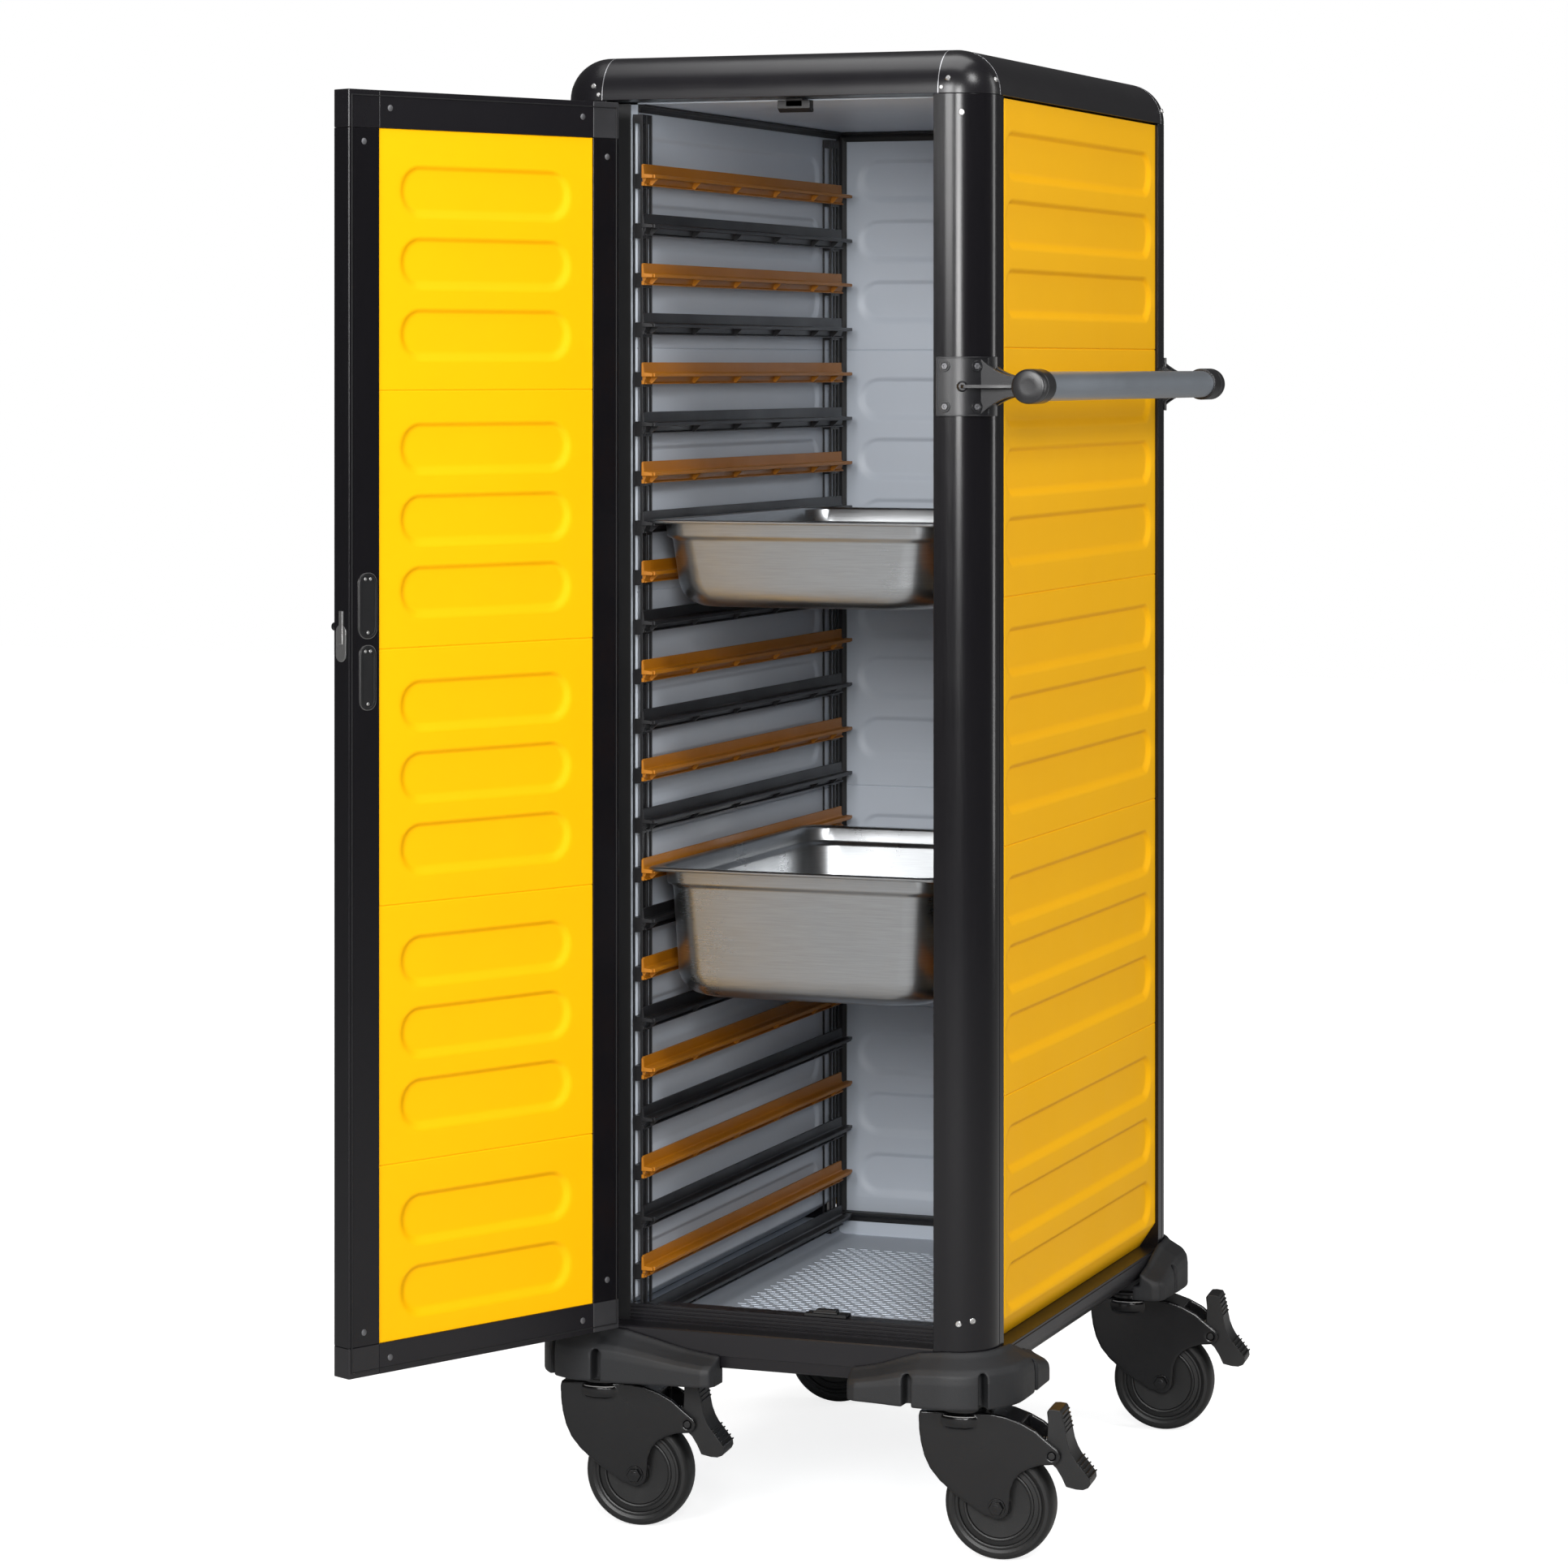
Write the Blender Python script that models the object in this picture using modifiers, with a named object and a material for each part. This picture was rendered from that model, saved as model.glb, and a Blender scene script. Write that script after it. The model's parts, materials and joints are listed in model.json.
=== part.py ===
"""Insulated food carrier: a tall wheeled cabinet with a hinged door, two runner racks and two pans.

Metres, +Z up. The cabinet is modelled about its own centre line and stands on z = 0; the empty called
trolley then shifts it, so that the origin is under the middle of the whole object with its door open.
"""

import math

import bmesh
import bpy
from mathutils import Matrix, Vector

# Cabinet
TROLLEY_CENTRE = (0.0036, 0.1708)  # where the cabinet's centre line stands
HALF_W = 0.257
HALF_D = 0.383
BODY_BOTTOM = 0.198
PANEL_BOTTOM = 0.230
PANEL_TOP = 1.630
HEADER_BOTTOM = 1.6325
TOP = 1.683
CORNER_R = 0.048
PROFILE = 0.030  # thickness of the frame's legs
POST_FRONT = 0.0605  # width of a post seen from the front
POST_SIDE = 0.0675  # width of a post seen from the side
RAIL_DEPTH = 0.055
CAP = 0.055
WALLS = {-1: 0.1800, 1: 0.2135}  # inner faces of the left and right walls, from the middle
CAVITY_X = (WALLS[1] - WALLS[-1]) / 2
FLOOR_Z = 0.213
GAP = 0.0003
PANEL_INSET = 0.004

# Sill
TREAD_Z = 0.2385
SILL_TOP = 0.2575
SILL_BACK = 0.053  # depth of the sill from the front face
RISER_BACK = 0.037  # depth of its step, beside the runners

# Door, drawn closed and turned open about its hinge
DOOR_LEFT = -0.1945
DOOR_RIGHT = 0.1925
DOOR_BOTTOM = 0.240
DOOR_TOP = 1.628
DOOR_THICK = 0.0265
HINGE = (-0.1985, -0.389)
DOOR_OPEN = math.radians(116)
STILE = 0.042
KNUCKLE_R = 0.0055
PIN_R = 0.0028
HINGE_HEIGHTS = {"upper": 1.500, "lower": 0.330}
LATCH_Z = 1.048
LATCH_X = 0.170

# Runners and pans
LEVELS = 24
TOP_LEVEL = 1.549
PITCH = 0.0568
RUNNER_FRONT = -0.345
RUNNER_BACK = 0.335
LEDGE = 0.028  # how far a runner stands out from the wall
PANS = {"pan_shallow": (7, 0.100), "pan_deep": (14, 0.150)}
PAN_HALF_W = 0.17925
PAN_LENGTH = 0.530
PAN_FRONT = -0.350
SHEET = 0.0010

# Handle
HANDLE_X = 0.306
HANDLE_Z = 1.307
HANDLE_HALF = 0.383
TUBE_R = 0.0165
HANDLE_CAP_R = 0.0195
HANDLE_CAP_LENGTH = 0.046
SADDLE_LIP = 0.0085  # flat edge of the bracket's plate, past the post's rounded corner
SADDLE = 0.005

# Casters
SWIVEL = (0.217, 0.334)
TRAIL = 0.042
TRAIL_TURN = math.radians(6)
WHEEL_R = 0.0625
WHEEL_HALF = 0.018
FORK_HALF = 0.0275
FORK_TOP = 0.1735
LEG_INSIDE = 0.0222
AXLE_R = 0.006
PEDAL = (0.104, 0.123)

# Corner bumpers
BUMPER_BOTTOM = 0.1778
BUMPER_TOP = 0.2375
BUMPER_END = 0.208
BUMPER_OUT = 0.030
LONG_ARM = 0.200
SHORT_ARM = 0.156

CORNERS = {"front_left": (-1, -1), "front_right": (1, -1), "rear_left": (-1, 1), "rear_right": (1, 1)}

for old in list(bpy.data.objects):
    bpy.data.objects.remove(old)
parts = bpy.data.collections.new("insulated_food_carrier")
cutters = bpy.data.collections.new("cutters")
bpy.context.scene.collection.children.link(parts)
bpy.context.scene.collection.children.link(cutters)


def finish(name, colour, roughness, metallic=0.0):
    """A plain Principled material."""
    material = bpy.data.materials.new(name)
    material.use_nodes = True
    shader = material.node_tree.nodes["Principled BSDF"]
    shader.inputs["Base Color"].default_value = (*colour, 1)
    shader.inputs["Roughness"].default_value = roughness
    shader.inputs["Metallic"].default_value = metallic
    return material


BLACK_FRAME = finish("black_anodised_aluminium", (0.02, 0.019, 0.022), 0.35, 0.6)
YELLOW = finish("yellow_panel_plastic", (1.0, 0.62, 0.0), 0.45)
LINER = finish("grey_liner_plastic", (0.42, 0.46, 0.52), 0.4)
BUMPER_GREY = finish("dark_grey_rubber", (0.045, 0.047, 0.05), 0.7)
RUNNER_ORANGE = finish("orange_runner_plastic", (0.55, 0.22, 0.0), 0.45)
BLACK_PLASTIC = finish("black_plastic", (0.02, 0.02, 0.022), 0.5)
TUBE_ALU = finish("satin_aluminium", (0.35, 0.38, 0.42), 0.35, 0.9)
STEEL = finish("stainless_steel", (0.6, 0.6, 0.6), 0.3, 1.0)
TYRE = finish("black_rubber_tyre", (0.02, 0.02, 0.02), 0.75)


def add_empty(name, location, parent=None, turn=0.0):
    empty = bpy.data.objects.new(name, None)
    empty.location = location
    empty.rotation_euler.z = turn
    empty.parent = parent
    parts.objects.link(empty)
    return empty


trolley = add_empty("trolley", (*TROLLEY_CENTRE, 0))


def add_object(name, mesh, material, parent=trolley, location=(0, 0, 0), home=parts):
    obj = bpy.data.objects.new(name, mesh)
    obj.location = location
    obj.parent = parent
    home.objects.link(obj)
    if material:
        mesh.materials.append(material)
    if home is cutters:
        obj.hide_render = True
        obj.display_type = "WIRE"
    return obj


def face_outwards(bm):
    bmesh.ops.recalc_face_normals(bm, faces=bm.faces)
    if bm.calc_volume(signed=True) < 0:
        bmesh.ops.reverse_faces(bm, faces=bm.faces)


def mesh_of(bm, name):
    face_outwards(bm)
    mesh = bpy.data.meshes.new(name)
    bm.to_mesh(mesh)
    bm.free()
    return mesh


def box_mesh(name, low, high):
    bm = bmesh.new()
    bmesh.ops.create_cube(bm, size=1)
    size = Vector(high) - Vector(low)
    bm.transform(Matrix.Translation((Vector(low) + Vector(high)) / 2) @ Matrix.Diagonal((*size, 1)))
    return mesh_of(bm, name)


def cylinder_mesh(name, radius, start, end, sides=24):
    """A cylinder between two points."""
    start = Vector(start)
    along = Vector(end) - start
    bm = bmesh.new()
    bmesh.ops.create_cone(
        bm, cap_ends=True, segments=sides, radius1=radius, radius2=radius, depth=along.length
    )
    turn = along.to_track_quat("Z", "Y").to_matrix().to_4x4()
    bm.transform(Matrix.Translation(start + along / 2) @ turn)
    mesh = mesh_of(bm, name)
    mesh.shade_smooth()
    mesh.set_sharp_from_angle(angle=math.radians(40))
    return mesh


def prism_mesh(name, outline, low, high, across="Z"):
    """A flat outline pushed from low to high along an axis.

    The outline's points are (x, y) for Z, (y, z) for X and (x, z) for Y.
    """
    curve = bpy.data.curves.new(name, "CURVE")
    curve.dimensions = "2D"
    curve.fill_mode = "BOTH"
    curve.extrude = (high - low) / 2
    loops = outline if isinstance(outline[0], list) else [outline]
    for loop in loops:
        spline = curve.splines.new("POLY")
        spline.points.add(len(loop) - 1)
        for point, (u, v) in zip(spline.points, loop):
            point.co = (u, v, 0, 1)
        spline.use_cyclic_u = True
    drawn = bpy.data.objects.new(name + "_drawn", curve)
    parts.objects.link(drawn)
    graph = bpy.context.evaluated_depsgraph_get()
    graph.update()
    mesh = bpy.data.meshes.new_from_object(drawn.evaluated_get(graph))
    bpy.data.objects.remove(drawn)
    bpy.data.curves.remove(curve)
    middle = (low + high) / 2
    swaps = {
        "Z": Matrix(((1, 0, 0, 0), (0, 1, 0, 0), (0, 0, 1, middle), (0, 0, 0, 1))),
        "X": Matrix(((0, 0, 1, middle), (1, 0, 0, 0), (0, 1, 0, 0), (0, 0, 0, 1))),
        "Y": Matrix(((1, 0, 0, 0), (0, 0, -1, middle), (0, 1, 0, 0), (0, 0, 0, 1))),
    }
    bm = bmesh.new()
    bm.from_mesh(mesh)
    bmesh.ops.remove_doubles(bm, verts=bm.verts, dist=1e-5)
    bm.transform(swaps[across])
    face_outwards(bm)
    bm.to_mesh(mesh)
    bm.free()
    mesh.shade_smooth()
    mesh.set_sharp_from_angle(angle=math.radians(30))
    return mesh


def arc(centre, radius, start, end, steps):
    """Points on an arc, angles in degrees."""
    angles = [math.radians(start + (end - start) * i / steps) for i in range(steps + 1)]
    return [(centre[0] + radius * math.cos(a), centre[1] + radius * math.sin(a)) for a in angles]


def rounded_rectangle(half_u, half_v, radius, steps=4, centre=(0, 0)):
    points = []
    for quarter, (su, sv) in enumerate(((1, 1), (-1, 1), (-1, -1), (1, -1))):
        middle = (centre[0] + su * (half_u - radius), centre[1] + sv * (half_v - radius))
        points += arc(middle, radius, 90 * quarter, 90 * quarter + 90, steps)
    return points


def combine(obj, other, operation):
    modifier = obj.modifiers.new(other.name, "BOOLEAN")
    modifier.object = other
    modifier.operation = operation
    modifier.solver = "EXACT"


def cut(obj, name, mesh):
    combine(obj, add_object(name, mesh, None, obj.parent, home=cutters), "DIFFERENCE")


def join(obj, name, mesh):
    combine(obj, add_object(name, mesh, None, obj.parent, home=cutters), "UNION")


def mirrored(points, sx, sy):
    return [(u * sx, v * sy) for u, v in points]


# Posts: an L-shaped extrusion with a large outer radius and a fine groove on each face.
def post_outline():
    centre = (HALF_W - CORNER_R, HALF_D - CORNER_R)
    groove = 0.0012
    points = [(HALF_W - POST_FRONT, HALF_D)]
    points += arc(centre, CORNER_R, 90, 0, 10)
    points += [(HALF_W, HALF_D - CORNER_R - 0.003)]
    points += [(HALF_W - groove, HALF_D - CORNER_R - 0.0035)]
    points += [(HALF_W - groove, HALF_D - CORNER_R - 0.0045), (HALF_W, HALF_D - CORNER_R - 0.005)]
    points += [(HALF_W, HALF_D - POST_SIDE), (HALF_W - PROFILE, HALF_D - POST_SIDE)]
    points += [(HALF_W - PROFILE, HALF_D - PROFILE), (HALF_W - POST_FRONT, HALF_D - PROFILE)]
    return points


for corner, (sx, sy) in CORNERS.items():
    post = add_object(
        f"post_{corner}",
        prism_mesh(f"post_{corner}", mirrored(post_outline(), sx, sy), BODY_BOTTOM, HEADER_BOTTOM - GAP),
        BLACK_FRAME,
    )
    if corner == "front_right":
        low = (HALF_W - POST_FRONT - 0.005, -HALF_D + 0.008, LATCH_Z - 0.021)
        high = (HALF_W - POST_FRONT + 0.010, -HALF_D + 0.019, LATCH_Z + 0.021)
        cut(post, "strike_slot", box_mesh("strike_slot", low, high))


# Top rails: a rounded outer edge between two caps.
def top_rail_outline(reach):
    """(distance across, z) with the outer face at reach."""
    points = [(reach - RAIL_DEPTH, HEADER_BOTTOM), (reach, HEADER_BOTTOM)]
    points += arc((reach - CORNER_R, TOP - CORNER_R), CORNER_R, 0, 90, 10)
    points += [(reach - RAIL_DEPTH, TOP)]
    return points


for side, sign in {"left": -1, "right": 1}.items():
    length = HALF_D - CAP - GAP
    outline = mirrored(top_rail_outline(HALF_W), sign, 1)
    add_object(
        f"top_rail_{side}", prism_mesh(f"top_rail_{side}", outline, -length, length, "Y"), BLACK_FRAME
    )
for side, sign in {"front": -1, "rear": 1}.items():
    length = HALF_W - CAP - GAP
    outline = mirrored(top_rail_outline(HALF_D), sign, 1)
    add_object(
        f"top_rail_{side}", prism_mesh(f"top_rail_{side}", outline, -length, length, "X"), BLACK_FRAME
    )


# Top caps: a cast corner with a ball-shaped outer corner.
def cap_mesh(name, sx, sy):
    bm = bmesh.new()
    bmesh.ops.create_cube(bm, size=1)
    low = Vector((HALF_W - CAP, HALF_D - CAP, HEADER_BOTTOM))
    high = Vector((HALF_W, HALF_D, TOP))
    bm.transform(Matrix.Translation((low + high) / 2) @ Matrix.Diagonal((*(high - low), 1)))
    tip = max(bm.verts, key=lambda v: v.co.x + v.co.y + v.co.z)
    bmesh.ops.bevel(
        bm, geom=list(tip.link_edges), offset=CORNER_R, segments=6, profile=0.5, affect="EDGES"
    )
    bm.transform(Matrix.Diagonal((sx, sy, 1, 1)))
    mesh = mesh_of(bm, name)
    mesh.shade_smooth()
    mesh.set_sharp_from_angle(angle=math.radians(30))
    return mesh


for corner, (sx, sy) in CORNERS.items():
    add_object(f"top_cap_{corner}", cap_mesh(f"top_cap_{corner}", sx, sy), BLACK_FRAME)


# Bottom rails: a plain rail with a rounded lower edge on three sides, and a stepped sill in front.
def bottom_rail_outline(reach):
    radius = 0.020
    points = [(reach - PROFILE, PANEL_BOTTOM - GAP), (reach - PROFILE, BODY_BOTTOM)]
    points += arc((reach - radius, BODY_BOTTOM + radius), radius, -90, 0, 6)
    points += [(reach, PANEL_BOTTOM - GAP)]
    return points


for side, sign in {"left": -1, "right": 1}.items():
    length = HALF_D - POST_SIDE - GAP
    outline = mirrored(bottom_rail_outline(HALF_W), sign, 1)
    add_object(
        f"bottom_rail_{side}",
        prism_mesh(f"bottom_rail_{side}", outline, -length, length, "Y"),
        BLACK_FRAME,
    )
rail_half = HALF_W - POST_FRONT - GAP
add_object(
    "bottom_rail_rear",
    prism_mesh("bottom_rail_rear", bottom_rail_outline(HALF_D), -rail_half, rail_half, "X"),
    BLACK_FRAME,
)


def riser_outline():
    """The grooved step that the door closes against, as (y, z)."""
    front = -HALF_D + PROFILE - 0.0005
    groove = 0.0015
    points = [(-HALF_D + RISER_BACK, BODY_BOTTOM), (-HALF_D + RISER_BACK, SILL_TOP), (front, SILL_TOP)]
    for z in (0.2535, 0.2485, 0.2435):
        points += [(front, z + 0.001), (front + groove, z + 0.0005)]
        points += [(front + groove, z - 0.0005), (front, z - 0.001)]
    points += [(front, BODY_BOTTOM)]
    return points


sill = add_object(
    "front_sill",
    box_mesh("front_sill", (-rail_half, -HALF_D, BODY_BOTTOM), (rail_half, -HALF_D + PROFILE, TREAD_Z)),
    BLACK_FRAME,
)
riser = prism_mesh("sill_riser", riser_outline(), GAP - WALLS[-1], rail_half, "X")
join(sill, "sill_riser", riser)
step_inset = LEDGE + 0.002
step_low = (step_inset - WALLS[-1], -HALF_D + RISER_BACK - 0.001, BODY_BOTTOM)
step_high = (WALLS[1] - step_inset, -HALF_D + SILL_BACK, SILL_TOP)
join(sill, "sill_step", box_mesh("sill_step", step_low, step_high))


# Insulated walls: an outer skin between the posts, thickened inwards behind them.
def wall_outline(inner):
    outer = HALF_W - PANEL_INSET
    inner_x = HALF_W - PROFILE - GAP
    outer_y = HALF_D - POST_SIDE - GAP
    inner_y = HALF_D - PROFILE - GAP
    return [
        (inner, -inner_y),
        (inner_x, -inner_y),
        (inner_x, -outer_y),
        (outer, -outer_y),
        (outer, outer_y),
        (inner_x, outer_y),
        (inner_x, inner_y),
        (inner, inner_y),
    ]


for side, sign in {"left": -1, "right": 1}.items():
    outline = mirrored(wall_outline(WALLS[sign]), sign, 1)
    name = f"side_panel_{side}"
    add_object(name, prism_mesh(name, outline, PANEL_BOTTOM, PANEL_TOP), YELLOW)
back_low = (-rail_half, HALF_D - PROFILE + GAP, PANEL_BOTTOM)
back_high = (rail_half, HALF_D - PANEL_INSET, PANEL_TOP)
add_object("back_panel", box_mesh("back_panel", back_low, back_high), YELLOW)
roof = (HALF_W - RAIL_DEPTH - GAP, HALF_D - RAIL_DEPTH - GAP)
add_object(
    "roof_panel",
    box_mesh("roof_panel", (-roof[0], -roof[1], HEADER_BOTTOM), (roof[0], roof[1], TOP - 0.001)),
    BLACK_FRAME,
)


def floor_outline():
    """A tray with raised sides that fill the corner under each wall, as (x, z)."""
    outer = HALF_W - PROFILE - GAP
    rim = PANEL_BOTTOM - GAP
    sides = []
    for sign in (1, -1):
        inner = sign * WALLS[sign]
        side = [(sign * outer, BODY_BOTTOM), (sign * outer, rim), (inner, rim), (inner, FLOOR_Z)]
        sides += side[::sign]
    return sides


add_object(
    "floor_panel",
    prism_mesh(
        "floor_panel", floor_outline(), -HALF_D + SILL_BACK + GAP, HALF_D - PROFILE - GAP, "Y"
    ),
    LINER,
)

# Catches that the door's bolts drop into, under the header and on the sill.
catch_back = -HALF_D + SILL_BACK - 0.003
catch = add_object(
    "header_catch",
    box_mesh("header_catch", (0.010, -0.352, 1.6225), (0.030, catch_back, HEADER_BOTTOM - GAP)),
    BLACK_PLASTIC,
)
join(catch, "header_hook", box_mesh("header_hook", (0.000, -0.350, 1.6165), (0.039, -0.340, 1.6230)))
sill_catch = add_object(
    "sill_catch",
    box_mesh("sill_catch", (0.032, -0.351, SILL_TOP + GAP), (0.082, catch_back, 0.2625)),
    BLACK_PLASTIC,
)
join(sill_catch, "sill_hook", box_mesh("sill_hook", (0.045, -0.348, 0.2600), (0.069, -0.338, 0.2660)))


# Runner racks: two uprights and the runners clipped to them, on each side wall.
def runner_outline(level, sign):
    """A ledge on an upright web, as (x, z)."""
    z = TOP_LEVEL - PITCH * level
    profile = [(0.012, 0.012), (0.015, 0.012), (0.015, 0), (LEDGE, 0), (LEDGE, -0.004)]
    profile += [(0.018, -0.004), (0.014, -0.016), (0.012, -0.016)]
    return [(sign * (WALLS[sign] - out), z + up) for out, up in profile]


UPRIGHTS = ((-0.345, -0.315), (0.290, 0.320))
for side, sign in {"left": -1, "right": 1}.items():
    name = f"runner_rack_{side}"
    (y0, y1), rear = UPRIGHTS
    ends = sorted((sign * (WALLS[sign] - 0.0005), sign * (WALLS[sign] - 0.0125)))
    low_z = FLOOR_Z + 0.010
    high_z = PANEL_TOP - 0.012
    rack = add_object(
        name, box_mesh(name, (ends[0], y0, low_z), (ends[1], y1, high_z)), BLACK_PLASTIC
    )
    other = box_mesh(name + "_rear", (ends[0], rear[0], low_z), (ends[1], rear[1], high_z))
    join(rack, name + "_rear_upright", other)
    bm = bmesh.new()
    for level in range(LEVELS):
        runner = prism_mesh("runner", runner_outline(level, sign), RUNNER_FRONT, RUNNER_BACK, "Y")
        bm.from_mesh(runner)
        bpy.data.meshes.remove(runner)
    join(rack, name + "_runners", mesh_of(bm, name + "_runners"))


# Pans: drawn sheet with a flat rim, a step under it and rounded corners.
def pan_mesh(name, depth):
    """Rings from the rim's edge down to the base, open at the top."""
    half_l = PAN_LENGTH / 2
    rings = (
        (PAN_HALF_W, half_l, 0.018, 0.0),
        (PAN_HALF_W - 0.0115, half_l - 0.0125, 0.030, 0.0),
        (PAN_HALF_W - 0.0125, half_l - 0.0135, 0.030, -0.012),
        (PAN_HALF_W - 0.0160, half_l - 0.0170, 0.034, -0.016),
        (PAN_HALF_W - 0.0240, half_l - 0.0250, 0.045, -depth + 0.012),
        (PAN_HALF_W - 0.0340, half_l - 0.0350, 0.045, -depth),
    )
    bm = bmesh.new()
    loops = []
    for half_u, half_v, radius, z in rings:
        outline = rounded_rectangle(half_u, half_v, radius)
        loops.append([bm.verts.new((u, v, z)) for u, v in outline])
    count = len(loops[0])
    for upper, lower in zip(loops, loops[1:]):
        for i in range(count):
            j = (i + 1) % count
            bm.faces.new((upper[i], upper[j], lower[j], lower[i]))
    bm.faces.new(loops[-1])
    return mesh_of(bm, name)


for name, (level, depth) in PANS.items():
    rest = (CAVITY_X, PAN_FRONT + PAN_LENGTH / 2, TOP_LEVEL - PITCH * level + GAP + SHEET)
    pan = add_object(name, pan_mesh(name, depth), STEEL, location=rest)
    sheet = pan.modifiers.new("sheet", "SOLIDIFY")
    sheet.thickness = SHEET
    sheet.offset = -1
    pan.data.shade_smooth()
    pan.data.set_sharp_from_angle(angle=math.radians(50))


# Push handle: a tube with end caps on two brackets that saddle the right-hand posts.
def handle_profile():
    cap_start = HANDLE_HALF - HANDLE_CAP_LENGTH
    half = [(0, -HANDLE_HALF), (HANDLE_CAP_R - 0.002, -HANDLE_HALF), (HANDLE_CAP_R, -HANDLE_HALF + 0.002)]
    half += [(HANDLE_CAP_R, -cap_start), (TUBE_R, -cap_start)]
    return half + [(r, -y) for r, y in reversed(half)]


def turned_mesh(name, profile, centre, axis, steps=24):
    """A profile of (radius, distance along the axis) turned about an axis through centre."""
    bm = bmesh.new()
    verts = [bm.verts.new((radius, 0, along)) for radius, along in profile]
    edges = [bm.edges.new(pair) for pair in zip(verts, verts[1:])]
    if profile[0][0] > 0:
        edges.append(bm.edges.new((verts[-1], verts[0])))
    bmesh.ops.spin(
        bm,
        geom=verts + edges,
        cent=(0, 0, 0),
        axis=(0, 0, 1),
        angle=math.tau,
        steps=steps,
        use_merge=True,
        use_duplicate=False,
    )
    bmesh.ops.remove_doubles(bm, verts=bm.verts, dist=1e-5)
    turn = Vector(axis).to_track_quat("Z", "Y").to_matrix().to_4x4()
    bm.transform(Matrix.Translation(centre) @ turn)
    mesh = mesh_of(bm, name)
    mesh.shade_smooth()
    mesh.set_sharp_from_angle(angle=math.radians(30))
    return mesh


add_object(
    "handle_bar",
    turned_mesh("handle_bar", handle_profile(), (HANDLE_X, 0, HANDLE_Z), (0, 1, 0)),
    TUBE_ALU,
)


def saddle_outline(sy):
    """A plate curved round the post's corner, as (x, y)."""
    centre = (HALF_W - CORNER_R, HALF_D - CORNER_R)
    edge = HALF_W - CORNER_R - SADDLE_LIP
    inner = arc(centre, CORNER_R + GAP, 4, 90, 8) + [(edge, HALF_D + GAP)]
    outer = [(edge, HALF_D + SADDLE)] + arc(centre, CORNER_R + SADDLE, 90, 4, 8)
    return mirrored(inner + outer, 1, sy)


for side, sy in {"front": -1, "rear": 1}.items():
    name = f"handle_bracket_{side}"
    saddle = prism_mesh(name, saddle_outline(sy), HANDLE_Z - 0.0335, HANDLE_Z + 0.0335)
    bracket = add_object(name, saddle, BLACK_PLASTIC)
    reach = HANDLE_X - HANDLE_CAP_R - GAP
    inner_x = HALF_W - 0.012
    y0 = sy * (HALF_D - 0.040)
    y1 = sy * (HALF_D - 0.012)
    arm = [(inner_x, -0.030), (HALF_W + 0.010, -0.020), (reach, -0.012)]
    arm += [(u, -v) for u, v in reversed(arm)]
    arm = [(u, HANDLE_Z + v) for u, v in arm]
    low, high = sorted((y0 - sy * 0.004, y1))
    join(bracket, name + "_arm", prism_mesh(name + "_arm", arm, low, high, "Y"))
    clear = HALF_D - CORNER_R
    post = cylinder_mesh(
        name + "_post",
        CORNER_R + GAP,
        (HALF_W - CORNER_R, sy * clear, HANDLE_Z - 0.05),
        (HALF_W - CORNER_R, sy * clear, HANDLE_Z + 0.05),
        96,
    )
    cut(bracket, name + "_clearance", post)
    face = sorted((sy * 0.20, sy * (clear + 0.0005)))
    flat = box_mesh(
        name + "_flat", (HALF_W - 0.05, face[0], HANDLE_Z - 0.05), (HALF_W + GAP, face[1], HANDLE_Z + 0.05)
    )
    cut(bracket, name + "_flat_clearance", flat)

# Door: frame, insulated leaf, seal, hinges and latch, all on an empty that stands on the hinge line.
hinge = add_empty("door_hinge", (*HINGE, 0), trolley, -DOOR_OPEN)
DOOR_OUTER = -HALF_D - HINGE[1]
DOOR_INNER = DOOR_OUTER + DOOR_THICK
LEFT = DOOR_LEFT - HINGE[0]
RIGHT = DOOR_RIGHT - HINGE[0]


def rectangle(left, right, low, high):
    return [(left, low), (right, low), (right, high), (left, high)]


window = (LEFT + STILE, RIGHT - STILE, DOOR_BOTTOM + STILE, DOOR_TOP - STILE)
door_frame = add_object(
    "door_frame",
    prism_mesh(
        "door_frame",
        [rectangle(LEFT, RIGHT, DOOR_BOTTOM, DOOR_TOP), rectangle(*window)],
        DOOR_OUTER,
        DOOR_INNER,
        "Y",
    ),
    BLACK_FRAME,
    hinge,
)
add_object(
    "door_panel",
    box_mesh(
        "door_panel",
        (window[0] + GAP, DOOR_OUTER + 0.002, window[2] + GAP),
        (window[1] - GAP, DOOR_INNER - 0.002, window[3] - GAP),
    ),
    YELLOW,
    hinge,
)
SEAL_INSET = 0.003
SEAL = 0.007
add_object(
    "door_seal",
    prism_mesh(
        "door_seal",
        [
            rectangle(*(LEFT + SEAL_INSET, RIGHT - SEAL_INSET, DOOR_BOTTOM + 0.005, DOOR_TOP - 0.005)),
            rectangle(
                LEFT + SEAL_INSET + SEAL,
                RIGHT - SEAL_INSET - SEAL,
                DOOR_BOTTOM + 0.005 + SEAL,
                DOOR_TOP - 0.005 - SEAL,
            ),
        ],
        DOOR_INNER + GAP,
        DOOR_INNER + 0.0026,
        "Y",
    ),
    BLACK_PLASTIC,
    hinge,
)
KNUCKLE = 0.030
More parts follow.
